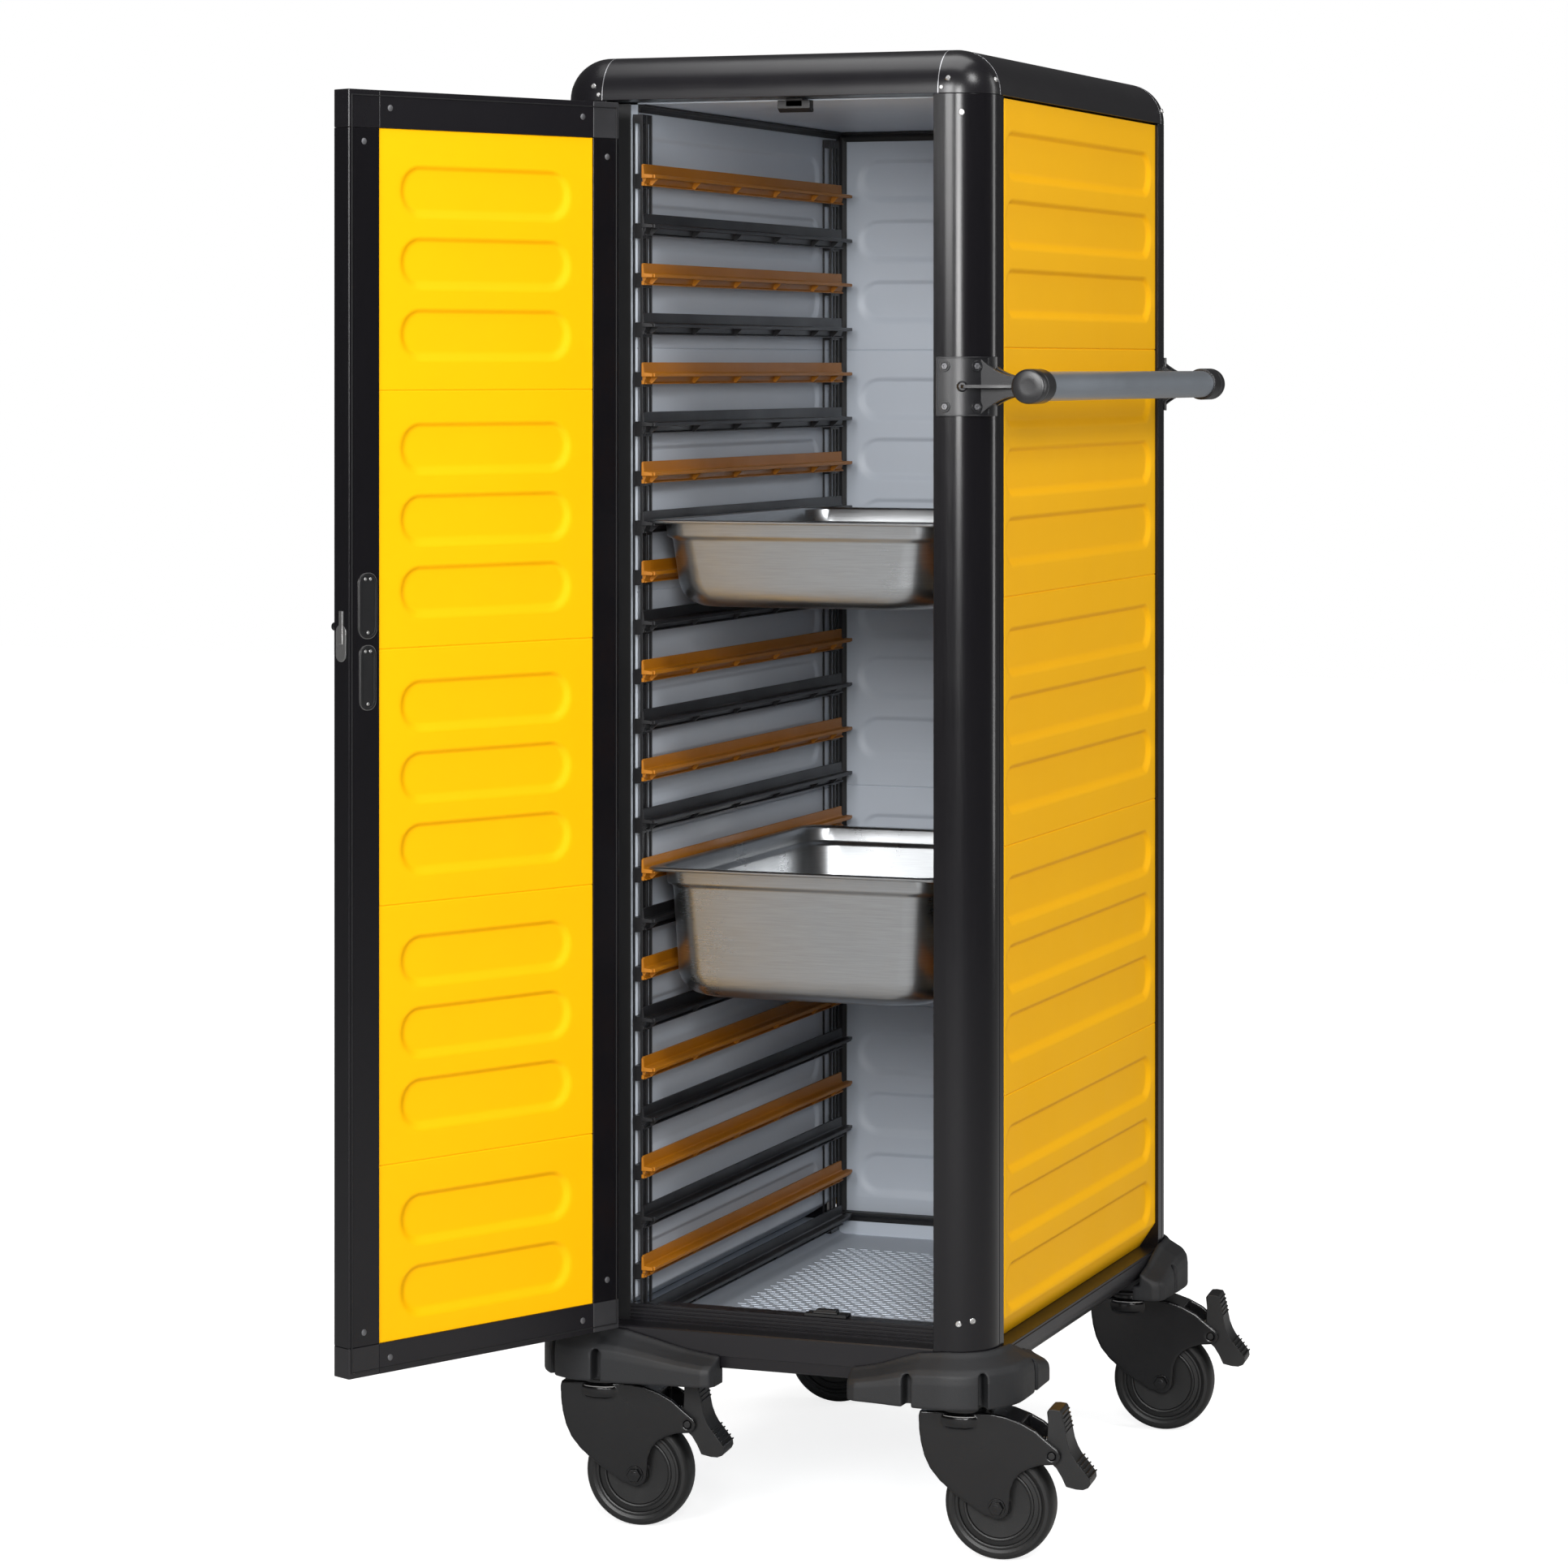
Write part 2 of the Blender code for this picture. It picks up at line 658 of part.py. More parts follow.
for place, z in HINGE_HEIGHTS.items():
    name = f"door_hinge_{place}"
    fixed = add_object(
        name,
        cylinder_mesh(name, KNUCKLE_R, (*HINGE, z), (*HINGE, z + KNUCKLE), 20),
        BLACK_FRAME,
    )
    leaf = box_mesh(
        name + "_leaf",
        (HINGE[0] - 0.013, HINGE[1] - 0.001, z),
        (HINGE[0], -HALF_D - GAP, z + KNUCKLE),
    )
    join(fixed, name + "_leaf", leaf)
    pin = cylinder_mesh(
        name + "_pin", PIN_R, (*HINGE, z + KNUCKLE - 0.001), (*HINGE, z + 2 * KNUCKLE - 0.002), 12
    )
    join(fixed, name + "_pin", pin)
    start = (0, 0, z + KNUCKLE + GAP)
    end = (0, 0, z + 2 * KNUCKLE)
    barrel = cylinder_mesh(f"door_knuckle_{place}", KNUCKLE_R, start, end, 20)
    join(door_frame, f"door_knuckle_{place}", barrel)
    door_leaf = box_mesh(
        f"door_leaf_{place}", (0, -0.001, start[2]), (LEFT + 0.022, DOOR_OUTER - GAP, end[2])
    )
    join(door_frame, f"door_leaf_{place}", door_leaf)
    fixing = box_mesh(
        f"door_leaf_fixing_{place}",
        (LEFT + 0.002, -0.0005, start[2] + 0.0005),
        (LEFT + 0.021, DOOR_OUTER + 0.001, end[2] - 0.0005),
    )
    join(door_frame, f"door_leaf_fixing_{place}", fixing)
    bore_end = (0, 0, end[2] - 0.0015)
    bore = cylinder_mesh(f"door_bore_{place}", PIN_R + GAP, (0, 0, z + KNUCKLE - 0.01), bore_end, 12)
    cut(door_frame, f"door_bore_{place}", bore)

# Latch: a thumb lever on the outer face turns a bolt through the free edge.
BOLT = (0.003, 0.018)  # half thickness and half height
BOLT_Y = DOOR_OUTER + 0.0135
latch_x = LATCH_X - HINGE[0]
bolt_room = box_mesh(
    "bolt_room",
    (RIGHT - 0.020, BOLT_Y - BOLT[0] - GAP, LATCH_Z - BOLT[1] - GAP),
    (RIGHT + 0.01, BOLT_Y + BOLT[0] + GAP, LATCH_Z + BOLT[1] + GAP),
)
cut(door_frame, "bolt_room", bolt_room)
add_object(
    "latch_bolt",
    box_mesh(
        "latch_bolt",
        (RIGHT - 0.019, BOLT_Y - BOLT[0], LATCH_Z - BOLT[1]),
        (RIGHT + 0.0005, BOLT_Y + BOLT[0], LATCH_Z + BOLT[1]),
    ),
    STEEL,
    hinge,
)
latch = add_empty("latch_axis", (latch_x, DOOR_OUTER, LATCH_Z), hinge)
lever = add_object(
    "latch_handle",
    cylinder_mesh("latch_handle", 0.009, (0, -0.0035, 0), (0, -GAP, 0), 24),
    BLACK_PLASTIC,
    latch,
)
grip = rounded_rectangle(0.030, 0.0045, 0.004, 2, (-0.012, 0))
join(lever, "latch_grip", prism_mesh("latch_grip", grip, -0.0100, -0.0030, "Y"))
for name, z in {"latch_cover_plate": 1.0710, "lock_cover_plate": 0.9935}.items():
    plate = rounded_rectangle(0.0115, 0.035, 0.011, 4, (latch_x + 0.001, z))
    add_object(
        name, prism_mesh(name, plate, DOOR_INNER + GAP, DOOR_INNER + 0.0020, "Y"), BLACK_PLASTIC, hinge
    )


# Casters: a fork that swivels under the bumper, an axle bolt, a wheel and a rocker pedal.
def fork_outline():
    """Side view of the fork, as (x behind the swivel, z)."""
    boss = arc((TRAIL, WHEEL_R), 0.014, 215, 360, 8)
    nose = arc(PEDAL, 0.010, -80, 60, 6)
    front = [(-0.047, 0.1660), (-0.047, 0.148), (-0.044, 0.126), (-0.036, 0.104), (-0.020, 0.087)]
    under = [(0.057, 0.082), (0.063, 0.097), (0.078, 0.107)]
    top = [(0.080, 0.150), (0.050, 0.1635), (0.038, 0.1660)]
    return front + boss + under + nose + top


def pedal_outline():
    outline = [(0.096, 0.170), (0.101, 0.1735), (0.114, 0.1725), (0.117, 0.158), (0.121, 0.136)]
    outline += [(0.127, 0.122), (0.146, 0.098), (0.145, 0.089), (0.133, 0.0855), (0.119, 0.0880)]
    return outline + [(0.108, 0.108), (0.098, 0.118), (0.097, 0.132)]


def wheel_profile():
    """(radius, distance along the axle) of the tyre, hub and hub boss."""
    bore = AXLE_R + GAP
    half = [(bore, WHEEL_HALF + 0.003), (0.013, WHEEL_HALF + 0.003), (0.014, WHEEL_HALF - 0.004)]
    half += [(0.046, WHEEL_HALF - 0.004), (0.049, WHEEL_HALF), (0.057, WHEEL_HALF)]
    half += [(WHEEL_R - 0.0008, WHEEL_HALF - 0.006), (WHEEL_R, 0.004)]
    return half + [(r, -y) for r, y in reversed(half)]


swivels = {}
for corner, (sx, sy) in CORNERS.items():
    place = (sx * SWIVEL[0], sy * SWIVEL[1], 0)
    swivel = add_empty(f"caster_swivel_{corner}", place, trolley, TRAIL_TURN)
    swivels[corner] = swivel
    name = f"caster_fork_{corner}"
    fork = add_object(
        name, prism_mesh(name, fork_outline(), -FORK_HALF, FORK_HALF, "Y"), BLACK_PLASTIC, swivel
    )
    head = cylinder_mesh(name + "_head", 0.034, (0, 0, 0.150), (0, 0, FORK_TOP), 28)
    join(fork, name + "_head", head)
    axle_z = WHEEL_R
    arch = cylinder_mesh(
        name + "_arch", 0.0665, (TRAIL, -LEG_INSIDE, axle_z), (TRAIL, LEG_INSIDE, axle_z), 32
    )
    cut(fork, name + "_arch", arch)
    throat = box_mesh(name + "_throat", (0.070, -LEG_INSIDE, 0.04), (0.16, LEG_INSIDE, 0.2))
    cut(fork, name + "_throat", throat)
    below = box_mesh(name + "_below", (-0.06, -LEG_INSIDE, 0.01), (0.16, LEG_INSIDE, 0.072))
    cut(fork, name + "_below", below)
    hole = cylinder_mesh(
        name + "_hole", AXLE_R + GAP, (TRAIL, -0.04, axle_z), (TRAIL, 0.04, axle_z), 16
    )
    cut(fork, name + "_hole", hole)
    pedal_hole = cylinder_mesh(
        name + "_pin_hole", 0.0043, (PEDAL[0], -0.04, PEDAL[1]), (PEDAL[0], 0.04, PEDAL[1]), 12
    )
    cut(fork, name + "_pin_hole", pedal_hole)
    axle_name = f"caster_axle_{corner}"
    bolt_head = FORK_HALF + GAP
    axle_half = [(0, bolt_head + 0.005), (0.010, bolt_head + 0.005), (0.010, bolt_head), (AXLE_R, bolt_head)]
    axle_profile = axle_half + [(r, -y) for r, y in reversed(axle_half)]
    axle = turned_mesh(axle_name, axle_profile, (TRAIL, 0, axle_z), (0, 1, 0), 16)
    add_object(axle_name, axle, STEEL, swivel)
    wheel_name = f"caster_wheel_{corner}"
    spin_axis = add_empty(f"wheel_axis_{corner}", (TRAIL, 0, axle_z), swivel)
    wheel = turned_mesh(wheel_name, wheel_profile(), (0, 0, 0), (0, 1, 0), 28)
    add_object(wheel_name, wheel, TYRE, spin_axis)
    pedal_name = f"caster_pedal_{corner}"
    pedal_axis = add_empty(f"pedal_axis_{corner}", (PEDAL[0], 0, PEDAL[1]), swivel)
    local = [(u - PEDAL[0], v - PEDAL[1]) for u, v in pedal_outline()]
    rocker = prism_mesh(pedal_name, local, -0.0205, 0.0205, "Y")
    pedal = add_object(pedal_name, rocker, BLACK_PLASTIC, pedal_axis)
    pin = cylinder_mesh(pedal_name + "_pin", 0.0040, (0, -FORK_HALF, 0), (0, FORK_HALF, 0), 12)
    join(pedal, pedal_name + "_pin", pin)


# Bumpers: a rubber corner that wraps the post's foot. Two of them have a longer arm along X.
def bumper_outline(arm):
    """Plan of the bumper on the corner at (+, +), with that arm along X."""
    out_x = HALF_W + BUMPER_OUT
    out_y = HALF_D + BUMPER_OUT
    radius = CORNER_R + BUMPER_OUT
    end_y = HALF_D - SHORT_ARM
    end_x = HALF_W - arm
    inside = 0.008
    points = [(HALF_W - inside, end_y), (out_x - 0.012, end_y), (out_x, end_y + 0.012)]
    points += [(out_x, end_y + SHORT_ARM / 2)]
    points += arc((out_x - radius, out_y - radius), radius, 0, 90, 10)
    points += [(end_x + arm / 2, out_y), (end_x + 0.012, out_y), (end_x, out_y - 0.012)]
    points += [(end_x, HALF_D - inside), (HALF_W - 0.085, HALF_D - inside)]
    points += [(HALF_W - 0.085, HALF_D - 0.095), (HALF_W - inside, HALF_D - 0.095)]
    return points


def bumper_height(x, y, arm):
    """The top slopes down along each arm."""
    along = max((HALF_D - 0.055 - y) / (SHORT_ARM - 0.055), (HALF_W - 0.050 - x) / (arm - 0.050), 0)
    return BUMPER_TOP + (BUMPER_END - BUMPER_TOP) * min(along, 1)


for corner, (sx, sy) in CORNERS.items():
    name = f"bumper_{corner}"
    arm = LONG_ARM if sx == sy else SHORT_ARM
    mesh = prism_mesh(name, bumper_outline(arm), BUMPER_BOTTOM, BUMPER_TOP)
    for vertex in mesh.vertices:
        if vertex.co.z > BUMPER_TOP - 0.001:
            vertex.co.z = bumper_height(vertex.co.x, vertex.co.y, arm)
    bm = bmesh.new()
    bm.from_mesh(mesh)
    bmesh.ops.triangulate(bm, faces=bm.faces)
    bm.transform(Matrix.Diagonal((sx, sy, 1, 1)))
    bumper = add_object(name, mesh_of(bm, name), BUMPER_GREY)
    room = [(HALF_W + GAP, -0.1)]
    room += [(HALF_W + GAP, HALF_D - CORNER_R)]
    room += arc((HALF_W - CORNER_R, HALF_D - CORNER_R), CORNER_R + GAP, 0, 90, 12)[1:]
    room += [(-0.1, HALF_D + GAP), (-0.1, -0.1)]
    cabinet = prism_mesh(name + "_cabinet", mirrored(room, sx, sy), BODY_BOTTOM - GAP, 0.3)
    cut(bumper, name + "_cabinet", cabinet)
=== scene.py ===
"""Insulated food carrier: a tall wheeled cabinet of black extrusions and yellow moulded boards, with its
insulated door open, two racks of runners, two steel pans, a push handle and four swivel casters."""

import json
import math

import bmesh
import bpy
from mathutils import Matrix, Vector


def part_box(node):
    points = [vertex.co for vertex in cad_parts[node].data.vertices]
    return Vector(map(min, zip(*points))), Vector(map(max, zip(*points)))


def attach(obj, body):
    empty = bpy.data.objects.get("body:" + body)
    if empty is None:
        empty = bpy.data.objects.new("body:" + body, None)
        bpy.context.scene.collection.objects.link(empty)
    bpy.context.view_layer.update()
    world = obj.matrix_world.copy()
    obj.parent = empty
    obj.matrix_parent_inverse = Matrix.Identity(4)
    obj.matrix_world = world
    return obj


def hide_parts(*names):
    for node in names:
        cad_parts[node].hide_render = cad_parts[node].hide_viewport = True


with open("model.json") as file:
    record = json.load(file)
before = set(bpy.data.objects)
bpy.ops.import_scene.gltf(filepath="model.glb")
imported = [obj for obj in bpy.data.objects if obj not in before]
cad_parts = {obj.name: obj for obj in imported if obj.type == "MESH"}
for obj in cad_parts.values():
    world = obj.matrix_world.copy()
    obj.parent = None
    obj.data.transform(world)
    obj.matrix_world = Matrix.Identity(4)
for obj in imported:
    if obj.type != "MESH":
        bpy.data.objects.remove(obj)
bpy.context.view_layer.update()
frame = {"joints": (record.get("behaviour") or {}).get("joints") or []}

joints = {joint["name"]: joint for joint in frame["joints"]}

# Corner posts: L-shaped aluminium extrusions, black anodised, with a large round nose and a fine groove.
# The cabinet's centre line and size are read from them, and every section below measures from it.
low_post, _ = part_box("post_front_left")
_, high_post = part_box("post_rear_right")
MIDDLE = (low_post + high_post) / 2
HALF_W = (high_post.x - low_post.x) / 2
HALF_D = (high_post.y - low_post.y) / 2
POST_LOW = low_post.z
POST_HIGH = high_post.z
CABINET = Matrix.Translation((MIDDLE.x, MIDDLE.y, 0))
CORNERS = {"front_left": (-1, -1), "front_right": (1, -1), "rear_left": (-1, 1), "rear_right": (1, 1)}
SIDES = {"left": -1, "right": 1}
NOSE = 0.048  # radius of the posts' and rails' rounded corner
LEG = 0.030  # thickness of the extrusion behind it
POST_FRONT = 0.0605
POST_SIDE = 0.0675
GAP = 0.0003  # clearance between neighbouring parts


def spot(u, v, w, across):
    """A point of a flat outline, w along the axis that it is pushed across."""
    return {"Z": (u, v, w), "X": (w, u, v), "Y": (u, w, v)}[across]


def arc(centre, radius, start, end, steps):
    turns = [math.radians(start + (end - start) * i / steps) for i in range(steps + 1)]
    return [(centre[0] + radius * math.cos(a), centre[1] + radius * math.sin(a)) for a in turns]


def join_rings(bm, rings, closed=False):
    """Faces between each ring of points and the next, and back to the first one if closed."""
    for first, second in zip(rings, rings[1:] + rings[:1] if closed else rings[1:]):
        for i in range(len(first)):
            j = (i + 1) % len(first)
            bm.faces.new((first[i], first[j], second[j], second[i]))


def push(bm, outline, low, high, across="Z", holes=()):
    """An outline, with any holes left open, made into a solid bar between two heights."""
    rings = []
    for height in (low, high):
        loops = [[bm.verts.new(spot(u, v, height, across)) for u, v in ring] for ring in (outline, *holes)]
        if holes:
            edges = [bm.edges.new(pair) for ring in loops for pair in zip(ring, ring[1:] + ring[:1])]
            bmesh.ops.triangle_fill(bm, edges=edges, use_beauty=True)
        else:
            bm.faces.new(loops[0])
        rings.append(loops)
    for pair in zip(*rings):
        join_rings(bm, pair)


def block(bm, low, high):
    push(bm, [(low[0], low[1]), (high[0], low[1]), (high[0], high[1]), (low[0], high[1])], low[2], high[2])


def turned(bm, profile, centre, axis, steps=32):
    """A profile of (radius, distance along the axis) turned about an axis, closed at both ends."""
    turn = Vector(axis).to_track_quat("Z", "Y").to_matrix()
    centre = Vector(centre)
    rings = []
    for radius, along in profile:
        if radius < 1e-6:
            rings.append([bm.verts.new(centre + turn @ Vector((0, 0, along)))])
            continue
        points = arc((0, 0), radius, 0, 360, steps)[:-1]
        rings.append([bm.verts.new(centre + turn @ Vector((u, v, along))) for u, v in points])
    for first, second in zip(rings, rings[1:]):
        for i in range(steps):
            j = (i + 1) % steps
            corners = [first[i % len(first)], first[j % len(first)]]
            corners += [second[j % len(second)], second[i % len(second)]]
            bm.faces.new(list(dict.fromkeys(corners)))
    for ring in (rings[0], rings[-1]):
        if len(ring) > 1:
            bm.faces.new(ring)


def ring_of(bm, profile, centre, axis, steps=32):
    """A closed profile of (radius, distance along the axis) turned into a ring."""
    turn = Vector(axis).to_track_quat("Z", "Y").to_matrix()
    centre = Vector(centre)
    rings = []
    for radius, along in profile:
        points = arc((0, 0), radius, 0, 360, steps)[:-1]
        rings.append([bm.verts.new(centre + turn @ Vector((u, v, along))) for u, v in points])
    join_rings(bm, rings, closed=True)


def put(name, bm, material, body, stands_for=(), at=CABINET, edge=0.0, soft=32):
    """Makes the piece, eases its edges and lets it ride on its body."""
    bmesh.ops.recalc_face_normals(bm, faces=bm.faces)
    bm.transform(at)
    mesh = bpy.data.meshes.new(name)
    bm.to_mesh(mesh)
    bm.free()
    mesh.materials.append(material)
    mesh.shade_smooth()
    mesh.set_sharp_from_angle(angle=math.radians(soft))
    piece = bpy.data.objects.new(name, mesh)
    bpy.context.scene.collection.objects.link(piece)
    if edge:
        eased = piece.modifiers.new("eased_edges", "BEVEL")
        eased.width = edge
        eased.segments = 2
        eased.limit_method = "ANGLE"
        eased.angle_limit = math.radians(soft)
        eased.harden_normals = True
        eased.miter_outer = "MITER_ARC"
    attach(piece, body)
    if stands_for:
        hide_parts(*stands_for)
    return piece


def group_of(name, inputs, outputs):
    """An empty shader group, with its input and output nodes."""
    group = bpy.data.node_groups.new(name, "ShaderNodeTree")
    for socket, kind, value in inputs:
        made = group.interface.new_socket(name=socket, in_out="INPUT", socket_type=kind)
        made.default_value = value
    for socket, kind in outputs:
        group.interface.new_socket(name=socket, in_out="OUTPUT", socket_type=kind)
    return group, group.nodes.new("NodeGroupInput"), group.nodes.new("NodeGroupOutput")


def math_node(nodes, links, operation, first, second=0.0, clamp=False):
    node = nodes.new("ShaderNodeMath")
    node.operation = operation
    node.use_clamp = clamp
    for socket, value in zip(node.inputs, (first, second)):
        if isinstance(value, (int, float)):
            socket.default_value = value
        else:
            links.new(value, socket)
    return node.outputs[0]


def stretched_noise(nodes, links, stretch, scale, detail=4.0, rough=0.55):
    """Noise in the object's own space, stretched by a vector."""
    place = nodes.new("ShaderNodeTexCoord")
    mapping = nodes.new("ShaderNodeMapping")
    mapping.inputs["Scale"].default_value = stretch
    noise = nodes.new("ShaderNodeTexNoise")
    noise.inputs["Detail"].default_value = detail
    noise.inputs["Roughness"].default_value = rough
    links.new(place.outputs["Object"], mapping.inputs["Vector"])
    links.new(mapping.outputs["Vector"], noise.inputs["Vector"])
    if isinstance(scale, (int, float)):
        noise.inputs["Scale"].default_value = scale
    else:
        links.new(scale, noise.inputs["Scale"])
    return noise.outputs["Fac"]


def make_handling():
    """Faint smears and hairline scratches. Marks is 0 to 1, and Height is for a bump."""
    group, given, made = group_of(
        "handling_marks",
        [("Smear Scale", "NodeSocketFloat", 9.0), ("Scratch Scale", "NodeSocketFloat", 60.0)],
        [("Marks", "NodeSocketFloat"), ("Height", "NodeSocketFloat")],
    )
    nodes, links = group.nodes, group.links
    smear = stretched_noise(nodes, links, (1.0, 1.0, 0.6), given.outputs["Smear Scale"], 6.0, 0.6)
    smear = math_node(nodes, links, "MULTIPLY_ADD", smear, 1.8, True)
    smear.node.inputs[2].default_value = -0.45
    scratch = stretched_noise(nodes, links, (1.0, 1.0, 14.0), given.outputs["Scratch Scale"], 3.0, 0.7)
    scratch = math_node(nodes, links, "GREATER_THAN", scratch, 0.69)
    part = math_node(nodes, links, "MULTIPLY", smear, 0.75)
    more = math_node(nodes, links, "MULTIPLY", scratch, 0.25)
    links.new(math_node(nodes, links, "ADD", part, more, True), made.inputs["Marks"])
    links.new(math_node(nodes, links, "MULTIPLY", scratch, -1.0), made.inputs["Height"])
    return group


def make_moulded_skin():
    """The fine pebble that a mould leaves on plastic. Mottle is 0 to 1, and Height is for a bump."""
    group, given, made = group_of(
        "moulded_skin",
        [("Pebble Scale", "NodeSocketFloat", 900.0), ("Mottle Scale", "NodeSocketFloat", 5.0)],
        [("Mottle", "NodeSocketFloat"), ("Height", "NodeSocketFloat")],
    )
    nodes, links = group.nodes, group.links
    pebble = stretched_noise(nodes, links, (1.0, 1.0, 1.0), given.outputs["Pebble Scale"], 2.0, 0.5)
    mottle = stretched_noise(nodes, links, (1.0, 1.0, 1.0), given.outputs["Mottle Scale"], 5.0, 0.6)
    links.new(pebble, made.inputs["Height"])
    links.new(mottle, made.inputs["Mottle"])
    return group


def make_drawn_lines():
    """The fine straight lines of drawn or brushed metal, along the axis whose Stretch is small."""
    group, given, made = group_of(
        "drawn_lines",
        [("Stretch", "NodeSocketVector", (1.0, 1.0, 0.02)), ("Line Scale", "NodeSocketFloat", 1500.0)],
        [("Lines", "NodeSocketFloat"), ("Height", "NodeSocketFloat")],
    )
    nodes, links = group.nodes, group.links
    place = nodes.new("ShaderNodeTexCoord")
    spread = nodes.new("ShaderNodeVectorMath")
    spread.operation = "MULTIPLY"
    noise = nodes.new("ShaderNodeTexNoise")
    noise.inputs["Detail"].default_value = 3.0
    links.new(place.outputs["Object"], spread.inputs[0])
    links.new(given.outputs["Stretch"], spread.inputs[1])
    links.new(spread.outputs["Vector"], noise.inputs["Vector"])
    links.new(given.outputs["Line Scale"], noise.inputs["Scale"])
    links.new(noise.outputs["Fac"], made.inputs["Lines"])
    links.new(noise.outputs["Fac"], made.inputs["Height"])
    return group


HANDLING = make_handling()
MOULDED_SKIN = make_moulded_skin()
DRAWN_LINES = make_drawn_lines()


def surface(name, colour, second, roughness, skin, skin_values, bump, marks=0.1, **settings):
    """A Principled material: two near colours, a skin group for its grain and the handling marks."""
    material = bpy.data.materials.new(name)
    material.use_nodes = True
    nodes, links = material.node_tree.nodes, material.node_tree.links
    shader = nodes["Principled BSDF"]
    for socket, value in settings.items():
        shader.inputs[socket.replace("_", " ")].default_value = value
    grain = nodes.new("ShaderNodeGroup")
    grain.node_tree = skin
    for socket, value in skin_values.items():
        grain.inputs[socket].default_value = value
    worn = nodes.new("ShaderNodeGroup")
    worn.node_tree = HANDLING
    mix = nodes.new("ShaderNodeMix")
    mix.data_type = "RGBA"
    mix.inputs[6].default_value = (*colour, 1)
    mix.inputs[7].default_value = (*second, 1)
    links.new(grain.outputs[0], mix.inputs[0])
    links.new(mix.outputs[2], shader.inputs["Base Color"])
    wear = math_node(nodes, links, "MULTIPLY", worn.outputs["Marks"], marks)
    lines = math_node(nodes, links, "MULTIPLY", grain.outputs[0], 0.08)
    spread = math_node(nodes, links, "ADD", wear, lines)
    links.new(math_node(nodes, links, "ADD", spread, roughness - 0.04, True), shader.inputs["Roughness"])
    height = math_node(nodes, links, "ADD", grain.outputs["Height"], worn.outputs["Height"])
    rough = nodes.new("ShaderNodeBump")
    rough.inputs["Strength"].default_value = bump
    rough.inputs["Distance"].default_value = 0.0004
    links.new(height, rough.inputs["Height"])
    links.new(rough.outputs["Normal"], shader.inputs["Normal"])
    return material


BLACK_FRAME = surface(
    "black_anodised_aluminium", (0.0040, 0.0037, 0.0046), (0.0066, 0.0061, 0.0076), roughness=0.17,
    skin=DRAWN_LINES, skin_values={"Stretch": (1.0, 1.0, 0.015), "Line Scale": 1200.0},
    bump=0.04, marks=0.08, Specular_IOR_Level=0.34,
)


def post_outline():
    """An L in plan with the round nose at its corner, for the post at (+, +)."""
    centre = (HALF_W - NOSE, HALF_D - NOSE)
    groove = 0.0010
    start = HALF_D - NOSE - 0.003
    points = [(HALF_W - POST_FRONT, HALF_D)] + arc(centre, NOSE, 90, 0, 36)
    points += [(HALF_W, start), (HALF_W - groove, start - 0.0005), (HALF_W - groove, start - 0.0015)]
    points += [(HALF_W, start - 0.0020), (HALF_W, HALF_D - POST_SIDE), (HALF_W - LEG, HALF_D - POST_SIDE)]
    return points + [(HALF_W - LEG, HALF_D - LEG), (HALF_W - POST_FRONT, HALF_D - LEG)]


def mirrored(points, sx, sy):
    """The same outline on the side that the two signs name."""
    return [(u * sx, v * sy) for u, v in points]


for corner, (sx, sy) in CORNERS.items():
    bm = bmesh.new()
    push(bm, mirrored(post_outline(), sx, sy), POST_LOW, POST_HIGH)
    name = f"post_{corner}"
    put(f"{name}_extrusion", bm, BLACK_FRAME, "cabinet", [name], edge=0.0006)

# Screws and rivets: small bright pan-heads that hold the corner castings, the posts' feet and the door's
# frame. Each is turned with a shallow socket, and its shank is sunk a millimetre into the part.
BRIGHT_STEEL = surface(
    "bright_zinc_steel", (0.62, 0.61, 0.60), (0.50, 0.50, 0.50), roughness=0.30,
    skin=MOULDED_SKIN, skin_values={"Pebble Scale": 1500.0, "Mottle Scale": 300.0}, bump=0.15, marks=0.15,
    Metallic=1.0,
)
POST_SCREWS = ((19.5, 0.2680), (38.5, 0.2710), (23.5, 1.6110))  # degrees round the nose, and height


def screw(bm, centre, normal, radius=0.0032, proud=0.0012):
    """A pan-head with a shallow socket."""
    profile = [(0, proud * 0.35), (radius * 0.36, proud * 0.35), (radius * 0.42, proud)]
    profile += [(radius * 0.75, proud), (radius * 0.95, proud * 0.55), (radius, 0), (radius, -0.001)]
    turned(bm, profile, centre, normal, 16)


bm = bmesh.new()
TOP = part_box("top_cap_front_left")[1].z
for sx, sy in CORNERS.values():
    for turn, z in POST_SCREWS:
        out = Vector((sx * math.sin(math.radians(turn)), sy * math.cos(math.radians(turn)), 0))
        foot = Vector((sx * (HALF_W - NOSE), sy * (HALF_D - NOSE), z)) + out * NOSE
        screw(bm, foot, out, 0.0036)
put("post_screws", bm, BRIGHT_STEEL, "cabinet")

# Top rails: the same extrusion laid down, its round nose up, between two cast corners.
# Each is cut square and pinned into the castings, so a hairline shows at either end.
RAIL_DEPTH = 0.055
CAST = 0.055
RAIL_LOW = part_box("top_rail_front")[0].z


def rail_outline(reach, sign):
    """A top rail's section, its round nose up and out at that distance from the middle."""
    points = [(reach - RAIL_DEPTH, RAIL_LOW), (reach, RAIL_LOW)]
    points += arc((reach - NOSE, TOP - NOSE), NOSE, 0, 90, 36) + [(reach - RAIL_DEPTH, TOP)]
    return mirrored(points, sign, 1)


